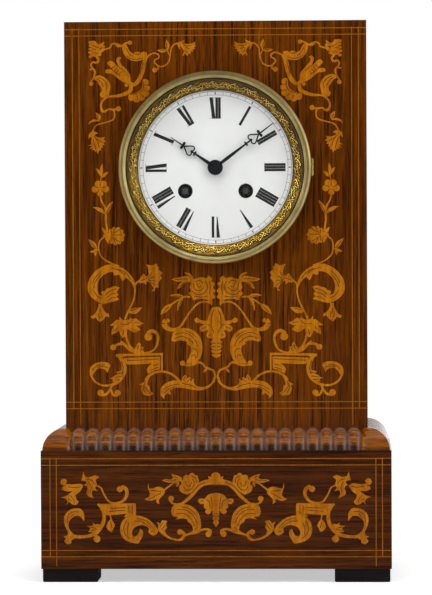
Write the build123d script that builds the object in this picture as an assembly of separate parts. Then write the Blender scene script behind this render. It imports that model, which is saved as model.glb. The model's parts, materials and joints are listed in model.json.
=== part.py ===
"""Marquetry mantel clock: veneered case, opening bezel, striking spring movement.

Millimetres, +Z up, front towards -Y, origin on the table under the middle of the case.
"""
import math
import os

from build123d import *

# Case
foot_height = 8.8
foot_width = 36.5
foot_depth = 26.0
foot_inset = 1.0
foot_round = 1.2
base_width = 231.0
base_depth = 130.0
base_height = 78.0
base_board = 10.0
base_back_board = 8.0
base_top_board = 8.0
base_bottom_board = 6.0
moulding_radius = 14.5
moulding_ledge = 1.0
rib_pitch = 9.1
rib_depth = 2.6
rib_end_margin = 2.0
body_height = 283.2
front_board = 10.0
side_board = 9.0
top_board = 9.0
back_board = 7.0
back_recess = 11.0
dial_below_top = 96.8
panel_clearance = 0.25

# Clearances
running_clearance = 0.05
fit_clearance = 0.02
door_gap = 0.3
end_shake = 0.2

# Bezel, glass and dial
bezel_radius = 63.6
rim_overhang = 1.3
rim_height = 12.0
rim_step_height = 4.0
rim_flare_height = 0.6
rim_bead_height = 2.6
rim_bead_width = 1.7
rim_front_width = 2.9
rim_stop_width = 4.6
rim_rebate_width = 3.6
glass_height = 8.1
glass_thickness = 1.8
glass_clearance = 0.2
sight_ring_width = 7.8
sight_cove_width = 1.6
sight_cove_sag = 0.5
sight_band_rise = 3.2
sight_lip_width = 1.6
sight_lip_drop = 0.8
sight_lip_height = 0.4
flange_inset = 1.8
flange_thickness = 1.6
spigot_gap = 0.6
spigot_wall = 1.5
lip_thickness = 1.2
lip_width = 4.5
dial_plate_clearance = 0.3
dial_plate_thickness = 1.2
dial_plate_hole = 5.6
dial_inset = 0.4
dial_thickness = 1.4
dial_dome = 0.8
dial_setback = 1.2
dial_centre_hole = 4.2
winding_hole = 4.9
dial_foot_length = 9.0
dial_foot_radius = 2.0
dial_foot_margin = 5.5
dial_foot_angles = (30, 150, 270)

# Hinges of the bezel and of the rear door
knuckle_radius = 1.2
knuckle_length = 3.4
hinge_pin_radius = 0.55
hinge_pin_end = 0.5
bezel_hinge_overhang = 0.2
bezel_hinge_height = 2.0
bezel_lug_reach = 3.4
bezel_lug_foot = 0.3
rear_hinge_overhang = 1.7
rear_hinge_height = 3.0
rear_lug_reach = 2.6
rear_door_lug_reach = 4.0

# Hands
hand_thickness = 0.8
hand_gap = 1.3
minute_gap = 1.2
hand_hub_radius = 5.05
hour_hub_radius = 4.6
hand_root_width = 1.7
hand_swell_width = 2.3
hand_swell_share = 0.42
hand_neck_width = 1.1
collar_length = 3.6
collar_width = 1.4
heart_lobe = 2.0
heart_spread = 1.75
heart_wire = 0.85
heart_overlap = 0.3
bar_reach = 1.45
bar_lobe = 1.3
bar_thickness = 0.95
needle_width = 1.1
needle_point = 0.5
minute_tip_gap = 2.6
hour_tip_share = 0.732
minute_collar_share = 0.528
minute_heart_share = 0.631
minute_bar_share = 0.760
hour_collar_share = 0.461
hour_heart_share = 0.556
hour_bar_share = 0.730
minute_angle = 52.9
hour_angle = 304.4
cannon_bore = 1.05
cannon_radius = 1.8
cannon_square = 2.4
hour_pipe_bore = 1.85
hour_pipe_radius = 2.7
collet_radius = 2.4
collet_height = 1.0
hand_pin_radius = 0.35
hand_pin_length = 6.4
hand_pin_rise = 0.6
centre_tip = 1.4

# Movement frame
plate_margin = 4.5
plate_thickness = 2.0
plate_gap = 30.0
pillar_radius = 2.4
pillar_inset = 3.0
pillar_angles = (44, 136, 188, 352)
strap_width = 10.0
strap_thickness = 1.6
strap_gap = 0.3
strap_front_reach = 6.6
strap_rear_reach = 8.6
screw_radius = 1.5
screw_reach = 5.0
screw_length = 4.0
screw_head_radius = 2.8
screw_head_height = 1.9
screw_slot_width = 0.6
screw_slot_depth = 0.8

# Wheels and pinions: module and tooth count of each pair
tooth_shares = (0.7, 1.1, 0.56, 0.20)
leaf_shares = (0.5, 1.0, 0.34, 0.22)
wheel_thickness = 1.2
wheel_rim = 1.9
wheel_hub = 3.0
spoke_width = 1.5
pinion_margin = 0.5
barrel_module = 0.72
barrel_teeth = 48
intermediate_pinion_teeth = 8
intermediate_module = 0.475
intermediate_teeth = 48
centre_pinion_teeth = 8
centre_module = 0.36
centre_teeth = 64
third_pinion_teeth = 6
third_angle = 85.0
third_module = 0.30
third_teeth = 72
escape_pinion_teeth = 6
escape_radius = 8.0
escape_root_share = 0.86
escape_lean_share = 0.34
escape_teeth = 40
second_pinion_teeth = 15
second_module = 0.40
second_teeth = 54
second_offset = 27.0
pin_pinion_teeth = 6
pin_angle = 62.0
pin_module = 0.32
pin_teeth = 60
pin_count = 10
pin_distance = 7.5
pin_radius = 0.4
pin_length = 2.5
locking_pinion_teeth = 6
locking_angle = 40.0
locking_module = 0.28
locking_teeth = 48
fly_pinion_teeth = 6
fly_angle = 100.0
fly_half_width = 4.2
fly_vane_length = 15.0
fly_vane_thickness = 0.5
fly_hub_radius = 1.0
winding_offset = 20.0
winding_drop = 15.5
motion_module = 0.40
cannon_teeth = 12
minute_wheel_teeth = 36
minute_pinion_teeth = 10
hour_wheel_teeth = 40
motion_stud_radius = 0.9
motion_wheel_thickness = 1.0

# Levels of the wheels in front of the back plate
intermediate_level = 3.0
barrel_level = 6.5
barrel_gear_thickness = 2.5
escape_level = 14.0
third_level = 20.0
front_wheel_level = 28.0
pin_level = 13.0
locking_level = 25.0
fly_vane_level = 7.0

# Levels in front of the front plate
click_wheel_level = 0.35
click_wheel_thickness = 1.6
minute_wheel_level = 2.6
hour_wheel_level = 5.2

# Arbors
light_arbor = 0.5
light_pivot = 0.35
fly_arbor = 0.45
train_arbor = 1.0
train_pivot = 0.7
centre_arbor = 1.2
centre_shaft = 1.0
winding_arbor = 2.4
winding_pivot = 1.9
winding_square = 3.6
square_proud = 0.3

# Barrels, springs, ratchets and clicks
drum_radius = 16.2
drum_wall = 1.0
drum_height = 17.5
drum_cap = 1.3
spring_thickness = 0.45
spring_inner = 5.0
spring_pitch = 1.36
spring_half_turns = 14
spring_margin = 0.7
click_wheel_radius = 6.5
click_wheel_root = 5.3
click_wheel_teeth = 24
click_distance = 9.5
click_angle = 20.0
click_sweep = 55.0
click_eye = 1.9
click_stud = 0.9
click_gap = 0.35
click_back = 1.6
click_nose_shares = (0.10, 0.45, 0.70)

# Escapement, pendulum and their cock
pallet_rise = 10.6
anchor_inner_gap = 1.6
anchor_width = 1.9
pallet_gap = 0.95
pallet_width = 1.3
anchor_hub = 2.0
anchor_half_angle = 50.0
pallet_half_angle = 44.9
anchor_thickness = 1.4
anchor_hole = 3.0
crutch_standoff = 2.2
crutch_thickness = 1.0
crutch_width = 2.2
crutch_length = 22.0
fork_width = 5.4
fork_height = 2.0
fork_pin_radius = 0.5
fork_gap = 0.35
cock_standoff = 6.0
cock_bar = 2.0
cock_width = 7.0
cock_span = 11.5
cock_foot = 5.0
suspension_stud = 1.2
suspension_length = 4.2
suspension_head = 2.0
suspension_head_height = 0.9
pendulum_length = 123.0
chop_width = 5.0
chop_height = 6.0
chop_thickness = 2.0
spring_strip_width = 3.6
spring_strip_thickness = 0.4
spring_strip_length = 9.0
rod_radius = 1.0
rod_tail = 12.0
bob_radius = 17.0
bob_thickness = 9.0
bob_edge = 2.4
nut_radius = 4.0
nut_height = 3.4

# Striking work behind the back plate
notch_wheel_radius = 11.5
notch_wheel_thickness = 1.2
notch_wheel_gap = 0.8
notch_depth = 1.8
notch_width_share = 0.62
notch_wheel_hub = 2.6
count_strokes = 90
hammer_u = -33.5
hammer_v = 20.0
tail_gap = 0.35
tail_width = 1.8
tail_thickness = 2.0
hammer_drop_u = 11.5
hammer_drop_v = 24.0
hammer_arm_width = 2.2
hammer_arm_thickness = 1.8
hammer_hub = 2.2
hammer_level = 18.2
hammer_head_radius = 3.0
hammer_head_length = 7.0
hammer_bell_gap = 0.6
bell_radius = 30.0
bell_depth_share = 0.553
bell_wall = 1.8
bell_rim_level = 16.0
bell_boss_margin = 0.3
bell_hole_clearance = 0.1
bell_post_radius = 2.3
bell_post_foot = 3.6
bell_post_foot_height = 1.5
bell_nut_radius = 3.4
bell_nut_height = 2.6
bell_stud_radius = 1.5

# Rear ring and rear door
rear_hole_margin = 2.0
rear_ring_width = 5.5
rear_ring_lap = 4.4
rear_ring_thickness = 1.5
rear_door_inset = 1.5
rear_door_wall = 1.4
rear_door_height = 3.9
rear_door_face = 1.2
rear_knob_inset = 10.0
rear_knob_radius = 3.0
rear_knob_neck = 1.6
rear_knob_height = 3.6
rear_knob_neck_height = 1.2

# Heights and depths worked out from the above; w runs from the case middle to the viewer
base_top_z = foot_height + base_height
top_z = base_top_z + body_height
body_width = base_width - 2 * (moulding_radius + moulding_ledge)
body_front_y = moulding_radius + moulding_ledge - base_depth / 2
back_y = base_depth / 2
dial_z = top_z - dial_below_top
front_rib_count = math.floor((body_width - 2 * rib_end_margin) / rib_pitch)
side_rib_count = math.floor((back_y - body_front_y - 2 * rib_end_margin) / rib_pitch)
w_case = -body_front_y
w_dial_edge = w_case - dial_setback
w_dial_top = w_dial_edge + dial_dome
w_dial_back = w_dial_edge - dial_thickness
w_dial_plate = w_dial_back - dial_plate_thickness
w_lip = w_dial_plate - lip_thickness
w_front_1 = w_dial_plate - dial_foot_length
w_front_0 = w_front_1 - plate_thickness
w_back_1 = w_front_0 - plate_gap
w_back_0 = w_back_1 - plate_thickness
w_hour = w_dial_top + hand_gap
w_minute = w_hour + hand_thickness + minute_gap
w_collet = w_minute + hand_thickness
w_panel_out = back_recess - back_y
w_panel_in = w_panel_out + back_board
w_ring = w_panel_out - rear_ring_thickness
w_door = w_ring - door_gap
w_rear_hinge = w_panel_out - rear_hinge_height
w_bezel_hinge = w_case + bezel_hinge_height
w_cock = w_back_0 - cock_standoff
w_pendulum = w_cock - cock_bar - suspension_length / 2
w_hammer = w_back_0 - hammer_level
bell_boss = bell_nut_radius + bell_boss_margin
w_bell_rim = w_back_0 - bell_rim_level
bell_depth = bell_depth_share * (w_bell_rim - w_door + rear_door_height - rear_door_face)

# Radii of the bezel and dial, worked inwards from the bezel
rim_back_radius = bezel_radius - rim_overhang
rim_front_radius = bezel_radius - rim_front_width
rim_stop_radius = bezel_radius - rim_stop_width
rim_rebate_radius = bezel_radius - rim_rebate_width
bezel_hinge_offset = bezel_radius + bezel_hinge_overhang
sight_radius = rim_stop_radius - sight_ring_width
sight_band_outer = rim_stop_radius - sight_cove_width
flange_radius = bezel_radius - flange_inset
flange_bore = sight_radius + sight_lip_width + spigot_gap
dial_plate_radius = flange_bore - dial_plate_clearance
dial_radius = dial_plate_radius - dial_inset
minute_tip = sight_radius - minute_tip_gap
hour_tip = minute_tip * hour_tip_share
front_frame = Plane(origin=(0, 0, dial_z), x_dir=(1, 0, 0), z_dir=(0, -1, 0))


def polar(radius, angle, centre=(0, 0)):
    """Point at a radius and an angle in degrees about a centre."""
    turn = math.radians(angle)
    return (centre[0] + radius * math.cos(turn), centre[1] + radius * math.sin(turn))


def bearing(start, end):
    """Angle in degrees of the direction from one point to another."""
    return math.degrees(math.atan2(end[1] - start[1], end[0] - start[0]))


def meet(first, first_radius, second, second_radius):
    """Left-hand crossing point of two circles."""
    gap = math.dist(first, second)
    along = (gap**2 + first_radius**2 - second_radius**2) / (2 * gap)
    aside = math.sqrt(first_radius**2 - along**2)
    return polar(aside, bearing(first, second) + 90, polar(along, bearing(first, second), first))


def pair(module, teeth, leaves):
    """Distance between the arbors of a wheel and a pinion in mesh."""
    return module * (teeth + leaves) / 2


# Places of the arbors in the front view, from the centre arbor
centre_at = (0, 0)
time_at = (winding_offset, -winding_drop)
strike_at = (-winding_offset, -winding_drop)
intermediate_at = meet(
    centre_at,
    pair(intermediate_module, intermediate_teeth, centre_pinion_teeth),
    time_at,
    pair(barrel_module, barrel_teeth, intermediate_pinion_teeth),
)
third_at = polar(pair(centre_module, centre_teeth, third_pinion_teeth), third_angle)
escape_reach = pair(third_module, third_teeth, escape_pinion_teeth)
escape_at = (0, third_at[1] + math.sqrt(escape_reach**2 - third_at[0] ** 2))
pallet_at = (0, escape_at[1] + pallet_rise)
second_reach = pair(barrel_module, barrel_teeth, second_pinion_teeth)
second_at = (
    -second_offset,
    -winding_drop + math.sqrt(second_reach**2 - (second_offset - winding_offset) ** 2),
)
pin_at = polar(pair(second_module, second_teeth, pin_pinion_teeth), pin_angle, second_at)
locking_at = polar(pair(pin_module, pin_teeth, locking_pinion_teeth), locking_angle, pin_at)
fly_at = polar(pair(locking_module, locking_teeth, fly_pinion_teeth), fly_angle, locking_at)
hammer_at = (hammer_u, hammer_v)
motion_reach = pair(motion_module, minute_wheel_teeth, cannon_teeth)
motion_at = (0, motion_reach)
hour_module = 2 * motion_reach / (hour_wheel_teeth + minute_pinion_teeth)
head_at = (hammer_u + hammer_drop_u, hammer_v - hammer_drop_v)
strike_bearing = bearing(hammer_at, head_at) + 90
bell_reach = hammer_head_length / 2 + hammer_bell_gap + bell_radius
bell_at = polar(bell_reach, strike_bearing, head_at)

# Radii of the movement and the back, worked outwards from the farthest arbor
plate_radius = math.hypot(hammer_u, hammer_v) + plate_margin
pillar_distance = plate_radius - pillar_inset
dial_foot_distance = min(plate_radius, flange_bore - lip_width) - dial_foot_margin
strap_offset = plate_radius + strap_gap + strap_thickness
screw_offset = strap_offset + screw_reach
rear_hole_radius = strap_offset + strap_rear_reach + rear_hole_margin
rear_ring_inner = screw_offset - rear_ring_lap
rear_ring_radius = rear_hole_radius + rear_ring_width
rear_door_radius = rear_ring_radius - rear_door_inset
rear_hinge_offset = rear_ring_radius + rear_hinge_overhang
rear_knob_offset = rear_door_radius - rear_knob_inset


def seat(shape):
    """Carry a shape from the front-view frame into the clock."""
    return front_frame.location * shape


def rod(radius, start, end, at=(0, 0)):
    """Round bar along the depth of the clock between two levels."""
    return Pos(at[0], at[1], (start + end) / 2) * Cylinder(radius, end - start)


def post(radius, low, high, u, w):
    """Upright round bar between two heights."""
    return Pos(u, (low + high) / 2, w) * Rot(90, 0, 0) * Cylinder(radius, high - low)


def block(u_range, v_range, w_range):
    """Rectangular block between limits in the front-view frame."""
    sizes = [side[1] - side[0] for side in (u_range, v_range, w_range)]
    middle = [(side[0] + side[1]) / 2 for side in (u_range, v_range, w_range)]
    return Pos(*middle) * Box(*sizes)


def turned(points):
    """Solid turned from a straight-sided profile of radius and level."""
    return revolve(make_face(Plane.XZ * Polyline(*points, close=True)), Axis.Z)


def flat(face, start, thickness, at=(0, 0)):
    """Flat piece cut from a sheet, its back at a level."""
    return extrude(Pos(at[0], at[1], start) * face, thickness)


def bar(start, end, width):
    """Flat bar between two points."""
    turn = bearing(start, end)
    middle = ((start[0] + end[0]) / 2, (start[1] + end[1]) / 2)
    return Pos(*middle) * Rot(0, 0, turn) * Rectangle(math.dist(start, end), width)


def toothed(teeth, module, shares, phase):
    """Outline of a wheel or pinion with a tooth at the phase angle."""
    addendum, dedendum, root, tip = shares
    pitch_radius = module * teeth / 2
    step = 360 / teeth
    points = []
    for number in range(teeth):
        middle = phase + number * step
        points.append(polar(pitch_radius - dedendum * module, middle - root * step / 2))
        points.append(polar(pitch_radius + addendum * module, middle - tip * step / 2))
        points.append(polar(pitch_radius + addendum * module, middle + tip * step / 2))
        points.append(polar(pitch_radius - dedendum * module, middle + root * step / 2))
    return make_face(Polyline(*points, close=True))


def crossed(outline, root_radius):
    """Wheel outline with four crossings cut out."""
    ring = Circle(root_radius - wheel_rim) - Circle(wheel_hub)
    arm = Rectangle(2 * root_radius, spoke_width)
    return outline - (ring - arm - Rot(0, 0, 90) * arm)


def wheel(teeth, module, level, thickness, at, towards):
    """Crossed wheel with a tooth on the line to the arbor that it meshes with."""
    outline = toothed(teeth, module, tooth_shares, bearing(at, towards))
    root_radius = module * teeth / 2 - tooth_shares[1] * module
    return flat(crossed(outline, root_radius), level, thickness, at)


def pinion(leaves, module, level, thickness, at, towards):
    """Pinion with a gap on the line to the arbor that it meshes with."""
    phase = bearing(at, towards) + 180 / leaves
    face = toothed(leaves, module, leaf_shares, phase)
    return flat(face, level - pinion_margin, thickness + 2 * pinion_margin, at)


def arbor(at, radius, pivot):
    """Arbor running between the plates on two pivots."""
    shaft = rod(radius, w_back_1 + end_shake, w_front_0 - end_shake, at)
    return shaft + rod(pivot, w_back_0, w_front_1, at)


# Case
def upright(x_range, y_range, z_range):
    """Board between limits in the clock's own frame."""
    sizes = [side[1] - side[0] for side in (x_range, y_range, z_range)]
    middle = [(side[0] + side[1]) / 2 for side in (x_range, y_range, z_range)]
    return Pos(*middle) * Box(*sizes)


def front_panel():
    board = upright(
        (-body_width / 2, body_width / 2),
        (body_front_y, body_front_y + front_board),
        (base_top_z, top_z),
    )
    hole = flange_bore + spigot_wall + panel_clearance
    return board - seat(rod(hole, w_case - 2 * front_board, w_case + front_board))


def right_side():
    return upright(
        (body_width / 2 - side_board, body_width / 2),
        (body_front_y + front_board, back_y),
        (base_top_z, top_z),
    )


def left_side():
    return mirror(right_side(), about=Plane.YZ)


def top_panel():
    inner = body_width / 2 - side_board
    return upright((-inner, inner), (body_front_y + front_board, back_y), (top_z - top_board, top_z))


def back_panel():
    inner = body_width / 2 - side_board
    outer_y = back_y - back_recess
    board = upright((-inner, inner), (outer_y - back_board, outer_y), (base_top_z, top_z - top_board))
    return board - seat(rod(rear_hole_radius, w_panel_out - back_board, w_panel_in + back_board))


def base_front():
    front_y = -base_depth / 2
    return upright(
        (-base_width / 2, base_width / 2), (front_y, front_y + base_board), (foot_height, base_top_z)
    )


def base_right():
    return upright(
        (base_width / 2 - base_board, base_width / 2),
        (base_board - base_depth / 2, back_y),
        (foot_height, base_top_z),
    )


def base_left():
    return mirror(base_right(), about=Plane.YZ)


def base_inner():
    inner = base_width / 2 - base_board
    return (-inner, inner)


def base_back():
    return upright(base_inner(), (back_y - base_back_board, back_y), (foot_height, base_top_z))


def base_top():
    depth = (base_board - base_depth / 2, back_y - base_back_board)
    return upright(base_inner(), depth, (base_top_z - base_top_board, base_top_z))


def base_bottom():
    depth = (base_board - base_depth / 2, back_y - base_back_board)
    return upright(base_inner(), depth, (foot_height, foot_height + base_bottom_board))


def ribbed_run(start, end, rib_start, rib_count):
    """Quarter-round run along X, scalloped into ribs between plain ends."""
    low = moulding_radius - rib_depth
    edges = [Polyline((start, 0), (start, moulding_radius), (rib_start, moulding_radius), (rib_start, low))]
    for number in range(rib_count):
        first = rib_start + number * rib_pitch
        last = first + rib_pitch
        edges.append(ThreePointArc((first, low), ((first + last) / 2, moulding_radius), (last, low)))
    rib_end = rib_start + rib_count * rib_pitch
    tail = [(rib_end, low), (rib_end, moulding_radius), (end, moulding_radius), (end, 0), (start, 0)]
    edges.append(Polyline(*tail))
    profile = make_face([Plane.XZ * edge for edge in edges])
    return revolve(profile, Axis.X, 90)


def moulding_front():
    half = body_width / 2
    reach = half + moulding_radius
    ribs = front_rib_count * rib_pitch
    run = Pos(0, body_front_y, base_top_z) * ribbed_run(-reach, reach, -ribs / 2, front_rib_count)
    corners = [(-half, 0), (half, 0), (reach, -moulding_radius), (-reach, -moulding_radius)]
    mitre = Pos(0, body_front_y, base_top_z) * make_face(Polyline(*corners, close=True))
    return run & extrude(mitre, moulding_radius)


def side_mouldings():
    half = body_width / 2
    front = body_front_y - moulding_radius
    ribs = side_rib_count * rib_pitch
    rib_start = back_y - (back_y - body_front_y - ribs) / 3 - ribs
    run = Pos(half, 0, base_top_z) * Rot(0, 0, 90) * ribbed_run(front, back_y, rib_start, side_rib_count)
    reach = half + moulding_radius
    corners = [(half, body_front_y), (reach, front), (reach, back_y), (half, back_y)]
    mitre = Pos(0, 0, base_top_z) * make_face(Polyline(*corners, close=True))
    right = run & extrude(mitre, moulding_radius)
    return Compound(children=[right, mirror(right, about=Plane.YZ)])


def feet():
    x = base_width / 2 - foot_inset - foot_width / 2
    y = base_depth / 2 - foot_inset - foot_depth / 2
    foot = Pos(0, 0, foot_height / 2) * Box(foot_width, foot_depth, foot_height)
    foot = fillet(foot.edges().group_by(Axis.Z)[0], foot_round)
    return Compound(children=[Pos(i * x, j * y, 0) * foot for i in (-1, 1) for j in (-1, 1)])


# Bezel, dial and hands
def knuckles(fixed):
    """Hinge knuckles about an upright axis, the outer two or the middle one."""
    bore = hinge_pin_radius + (0 if fixed else running_clearance)
    half = knuckle_length / 2
    spans = [(-half, half)]
    if fixed:
        spans = [(-half - door_gap - knuckle_length, -half - door_gap)]
        spans.append((half + door_gap, half + door_gap + knuckle_length))
    return spans, bore


def hinge_part(body, u, w, fixed, lug_u, lug_w):
    """Body with its lugs and knuckles added and bored for the pin."""
    spans, bore = knuckles(fixed)
    for low, high in spans:
        body = body + block(lug_u, (low, high), lug_w) + post(knuckle_radius, low, high, u, w)
    for low, high in spans:
        body = body - post(bore, low, high, u, w)
    return body


def bezel_flange():
    outer = flange_bore + spigot_wall
    inner = flange_bore - lip_width
    ring = turned(
        [
            (flange_bore, w_dial_plate),
            (flange_bore, w_case + flange_thickness),
            (flange_radius, w_case + flange_thickness),
            (flange_radius, w_case),
            (outer, w_case),
            (outer, w_lip),
            (inner, w_lip),
            (inner, w_dial_plate),
        ]
    )
    lug_u = (bezel_hinge_offset - bezel_lug_reach, bezel_hinge_offset)
    lug_w = (w_case + bezel_lug_foot, w_case + flange_thickness)
    return seat(hinge_part(ring, bezel_hinge_offset, w_bezel_hinge, True, lug_u, lug_w))


def bezel_rim():
    back = w_case + flange_thickness + door_gap
    step = w_case + rim_step_height
    front = w_case + rim_height
    bead = front - rim_bead_height
    stop = w_case + glass_height + glass_thickness
    flare = step + rim_flare_height
    bead_inner = bezel_radius - rim_bead_width
    turn = math.sqrt(1 / 2)
    bead_middle = (bead_inner + turn * rim_bead_width, bead + turn * rim_bead_height)
    outline = [
        Polyline(
            (bead_inner, front),
            (rim_front_radius, front),
            (rim_stop_radius, stop),
            (rim_rebate_radius, stop),
            (rim_rebate_radius, back),
            (rim_back_radius, back),
            (rim_back_radius, step),
            (bezel_radius, flare),
            (bezel_radius, bead),
        ),
        ThreePointArc((bezel_radius, bead), bead_middle, (bead_inner, front)),
    ]
    ring = revolve(make_face([Plane.XZ * edge for edge in outline]), Axis.Z)
    lug_u = (bezel_hinge_offset - bezel_lug_reach, bezel_hinge_offset)
    lug_w = (w_bezel_hinge, w_bezel_hinge + knuckle_radius)
    return seat(hinge_part(ring, bezel_hinge_offset, w_bezel_hinge, False, lug_u, lug_w))


def bezel_glass():
    start = w_case + glass_height
    return seat(rod(rim_rebate_radius - glass_clearance, start, start + glass_thickness))


def sight_ring():
    outer = rim_rebate_radius - glass_clearance
    back = w_case + flange_thickness + door_gap
    lip = w_case - sight_lip_drop
    lip_outer = sight_radius + sight_lip_width
    low = w_case + sight_lip_height
    high = low + sight_lip_drop + sight_band_rise
    top = w_case + glass_height
    cove = ((sight_band_outer + rim_stop_radius) / 2 - sight_cove_sag, (high + top) / 2)
    outline = [
        Polyline(
            (rim_stop_radius, top),
            (outer, top),
            (outer, back),
            (lip_outer, back),
            (lip_outer, lip),
            (sight_radius, lip),
            (sight_radius, low),
            (sight_radius + sight_lip_drop, low + sight_lip_drop),
            (sight_band_outer, high),
        ),
        ThreePointArc((sight_band_outer, high), cove, (rim_stop_radius, top)),
    ]
    return seat(revolve(make_face([Plane.XZ * edge for edge in outline]), Axis.Z))


def dial_plate():
    disc = rod(dial_plate_radius, w_dial_plate, w_dial_back)
    for at in (centre_at, time_at, strike_at):
        disc = disc - rod(dial_plate_hole, w_dial_plate, w_dial_back, at)
    return seat(disc)


def dome(radius, rise, edge):
    """Arc of a shallow dome from its edge to its middle, in radius and level."""
    curve = (radius**2 + rise**2) / (2 * rise)
    drop = curve - math.sqrt(curve**2 - radius**2 / 4)
    return ThreePointArc((radius, edge), (radius / 2, edge + rise - drop), (0, edge + rise))


def enamel_dial():
    outline = [
        Polyline((0, w_dial_top), (0, w_dial_back), (dial_radius, w_dial_back), (dial_radius, w_dial_edge)),
        dome(dial_radius, dial_dome, w_dial_edge),
    ]
    disc = revolve(make_face([Plane.XZ * edge for edge in outline]), Axis.Z)
    disc = disc - rod(dial_centre_hole, w_dial_back, w_dial_top)
    for at in (time_at, strike_at):
        disc = disc - rod(winding_hole, w_dial_back, w_dial_top, at)
    return seat(disc)


def heart(lobe, spread, base, point):
    """Heart outline with two lobes towards the hub and a point towards the tip."""
    side = math.degrees(math.acos(lobe / math.hypot(spread, point - base)))
    touch = polar(lobe, bearing((spread, base), (0, point)) - side, (spread, base))
    left_touch = (-touch[0], touch[1])
    web = Polyline((0, base), (spread, base), touch, (0, point), left_touch, (-spread, base), close=True)
    return Pos(spread, base) * Circle(lobe) + Pos(-spread, base) * Circle(lobe) + make_face(web)


def hand_face(hub, tip, shares):
    """Flat outline of a hand that points straight up, from the shares of its length."""
    collar, heart_base, cross = [share * tip for share in shares]
    swell = collar * hand_swell_share
    half_root = hand_root_width / 2
    half_swell = hand_swell_width / 2
    half_neck = hand_neck_width / 2
    shaft = make_face(
        Polyline(
            (-half_root, 0),
            (half_root, 0),
            (half_swell, swell),
            (half_neck, collar),
            (half_neck, heart_base),
            (-half_neck, heart_base),
            (-half_neck, collar),
            (-half_swell, swell),
            close=True,
        )
    )
    loop = heart(heart_lobe, heart_spread, heart_base, cross)
    hollow = heart(heart_lobe - heart_wire, heart_spread, heart_base, cross - 2 * heart_wire)
    half_needle = needle_width / 2
    half_point = needle_point / 2
    needle = make_face(
        Polyline(
            (-half_needle, cross - heart_wire - heart_overlap),
            (half_needle, cross - heart_wire - heart_overlap),
            (half_point, tip),
            (-half_point, tip),
            close=True,
        )
    )
    face = shaft + (loop - hollow) + Circle(hub) + needle
    face = face + Pos(0, collar) * Ellipse(collar_length / 2, collar_width / 2)
    for side in (-1, 1):
        face = face + Pos(side * bar_reach, cross) * Ellipse(bar_lobe, bar_thickness)
    return face + Pos(0, cross) * Rectangle(2 * bar_reach, bar_thickness)


def minute_hand():
    shares = (minute_collar_share, minute_heart_share, minute_bar_share)
    face = hand_face(hand_hub_radius, minute_tip, shares)
    side = cannon_square + 2 * fit_clearance
    face = Rot(0, 0, -minute_angle) * face - Rectangle(side, side)
    return seat(flat(face, w_minute, hand_thickness))


def hour_hand():
    shares = (hour_collar_share, hour_heart_share, hour_bar_share)
    face = hand_face(hour_hub_radius, hour_tip, shares)
    face = Rot(0, 0, -hour_angle) * face - Circle(hour_pipe_radius + fit_clearance)
    return seat(flat(face, w_hour, hand_thickness))


def taper_pin():
    """Pin across the tip of the centre arbor."""
    middle = w_collet + collet_height + hand_pin_rise
    return Pos(0, 0, middle) * Rot(0, 90, -minute_angle) * Cylinder(hand_pin_radius, hand_pin_length)


def hand_collet():
    collet = rod(collet_radius, w_collet, w_collet + collet_height)
    collet = collet - rod(cannon_bore, w_collet, w_collet + collet_height)
    return Compound(children=[seat(collet), seat(taper_pin())])


# Motion work between the dial and the front plate
def cannon_pinion():
    level = w_front_1 + minute_wheel_level
    leaves = pinion(cannon_teeth, motion_module, level, motion_wheel_thickness, centre_at, motion_at)
    tube = rod(cannon_radius, level - pinion_margin, w_minute)
    square = flat(Rectangle(cannon_square, cannon_square), w_minute, hand_thickness)
    bore = rod(cannon_bore, level - pinion_margin, w_collet)
    return seat(leaves + tube + square - bore)


def minute_wheel():
    level = w_front_1 + minute_wheel_level
    top = w_front_1 + hour_wheel_level
    disc = wheel(minute_wheel_teeth, motion_module, level, motion_wheel_thickness, motion_at, centre_at)
    leaves = pinion(minute_pinion_teeth, hour_module, top, motion_wheel_thickness, motion_at, centre_at)
    neck = rod(hour_module * minute_pinion_teeth / 3, level, top, motion_at)
    bore = rod(motion_stud_radius + running_clearance, w_front_1, w_dial_plate, motion_at)
    return seat(disc + leaves + neck - bore)


def hour_wheel():
    level = w_front_1 + hour_wheel_level
    outline = toothed(hour_wheel_teeth, hour_module, tooth_shares, bearing(centre_at, motion_at))
    disc = flat(outline, level, motion_wheel_thickness)
    pipe = rod(hour_pipe_radius, level, w_hour + hand_thickness)
    return seat(disc + pipe - rod(hour_pipe_bore, level, w_hour + hand_thickness))


# Movement frame
def click_places():
    """Places of the studs that carry the clicks."""
    studs = []
    for side, at in ((1, time_at), (-1, strike_at)):
        stud = polar(click_distance, click_angle)
        studs.append((at[0] + side * stud[0], at[1] + stud[1]))
    return studs


def pivots():
    """Pivot radius of each arbor that runs in both plates."""
    return (
        (time_at, winding_pivot),
        (strike_at, winding_pivot),
        (centre_at, centre_shaft),
        (intermediate_at, train_pivot),
        (third_at, light_pivot),
        (escape_at, light_pivot),
        (second_at, train_pivot),
        (pin_at, light_pivot),
        (locking_at, light_pivot),
        (fly_at, light_pivot),
        (hammer_at, train_pivot),
    )


def drilled(disc, start, end):
    """Plate with its pivot holes."""
    for at, radius in pivots():
        disc = disc - rod(radius + running_clearance, start, end, at)
    return disc


def front_plate():
    plate = drilled(rod(plate_radius, w_front_0, w_front_1), w_front_0, w_front_1)
    plate = plate - rod(light_pivot + running_clearance, w_front_0, w_front_1, pallet_at)
    stud_top = w_front_1 + hour_wheel_level + motion_wheel_thickness + 2 * pinion_margin
    plate = plate + rod(motion_stud_radius, w_front_1, stud_top, motion_at)
    shoulder_top = w_front_1 + minute_wheel_level - door_gap
    plate = plate + rod(2 * motion_stud_radius, w_front_1, shoulder_top, motion_at)
    click_top = w_front_1 + click_wheel_level + 2 * click_wheel_thickness
    for at in click_places():
        plate = plate + rod(click_stud, w_front_1, click_top, at)
    return seat(plate)


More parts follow.
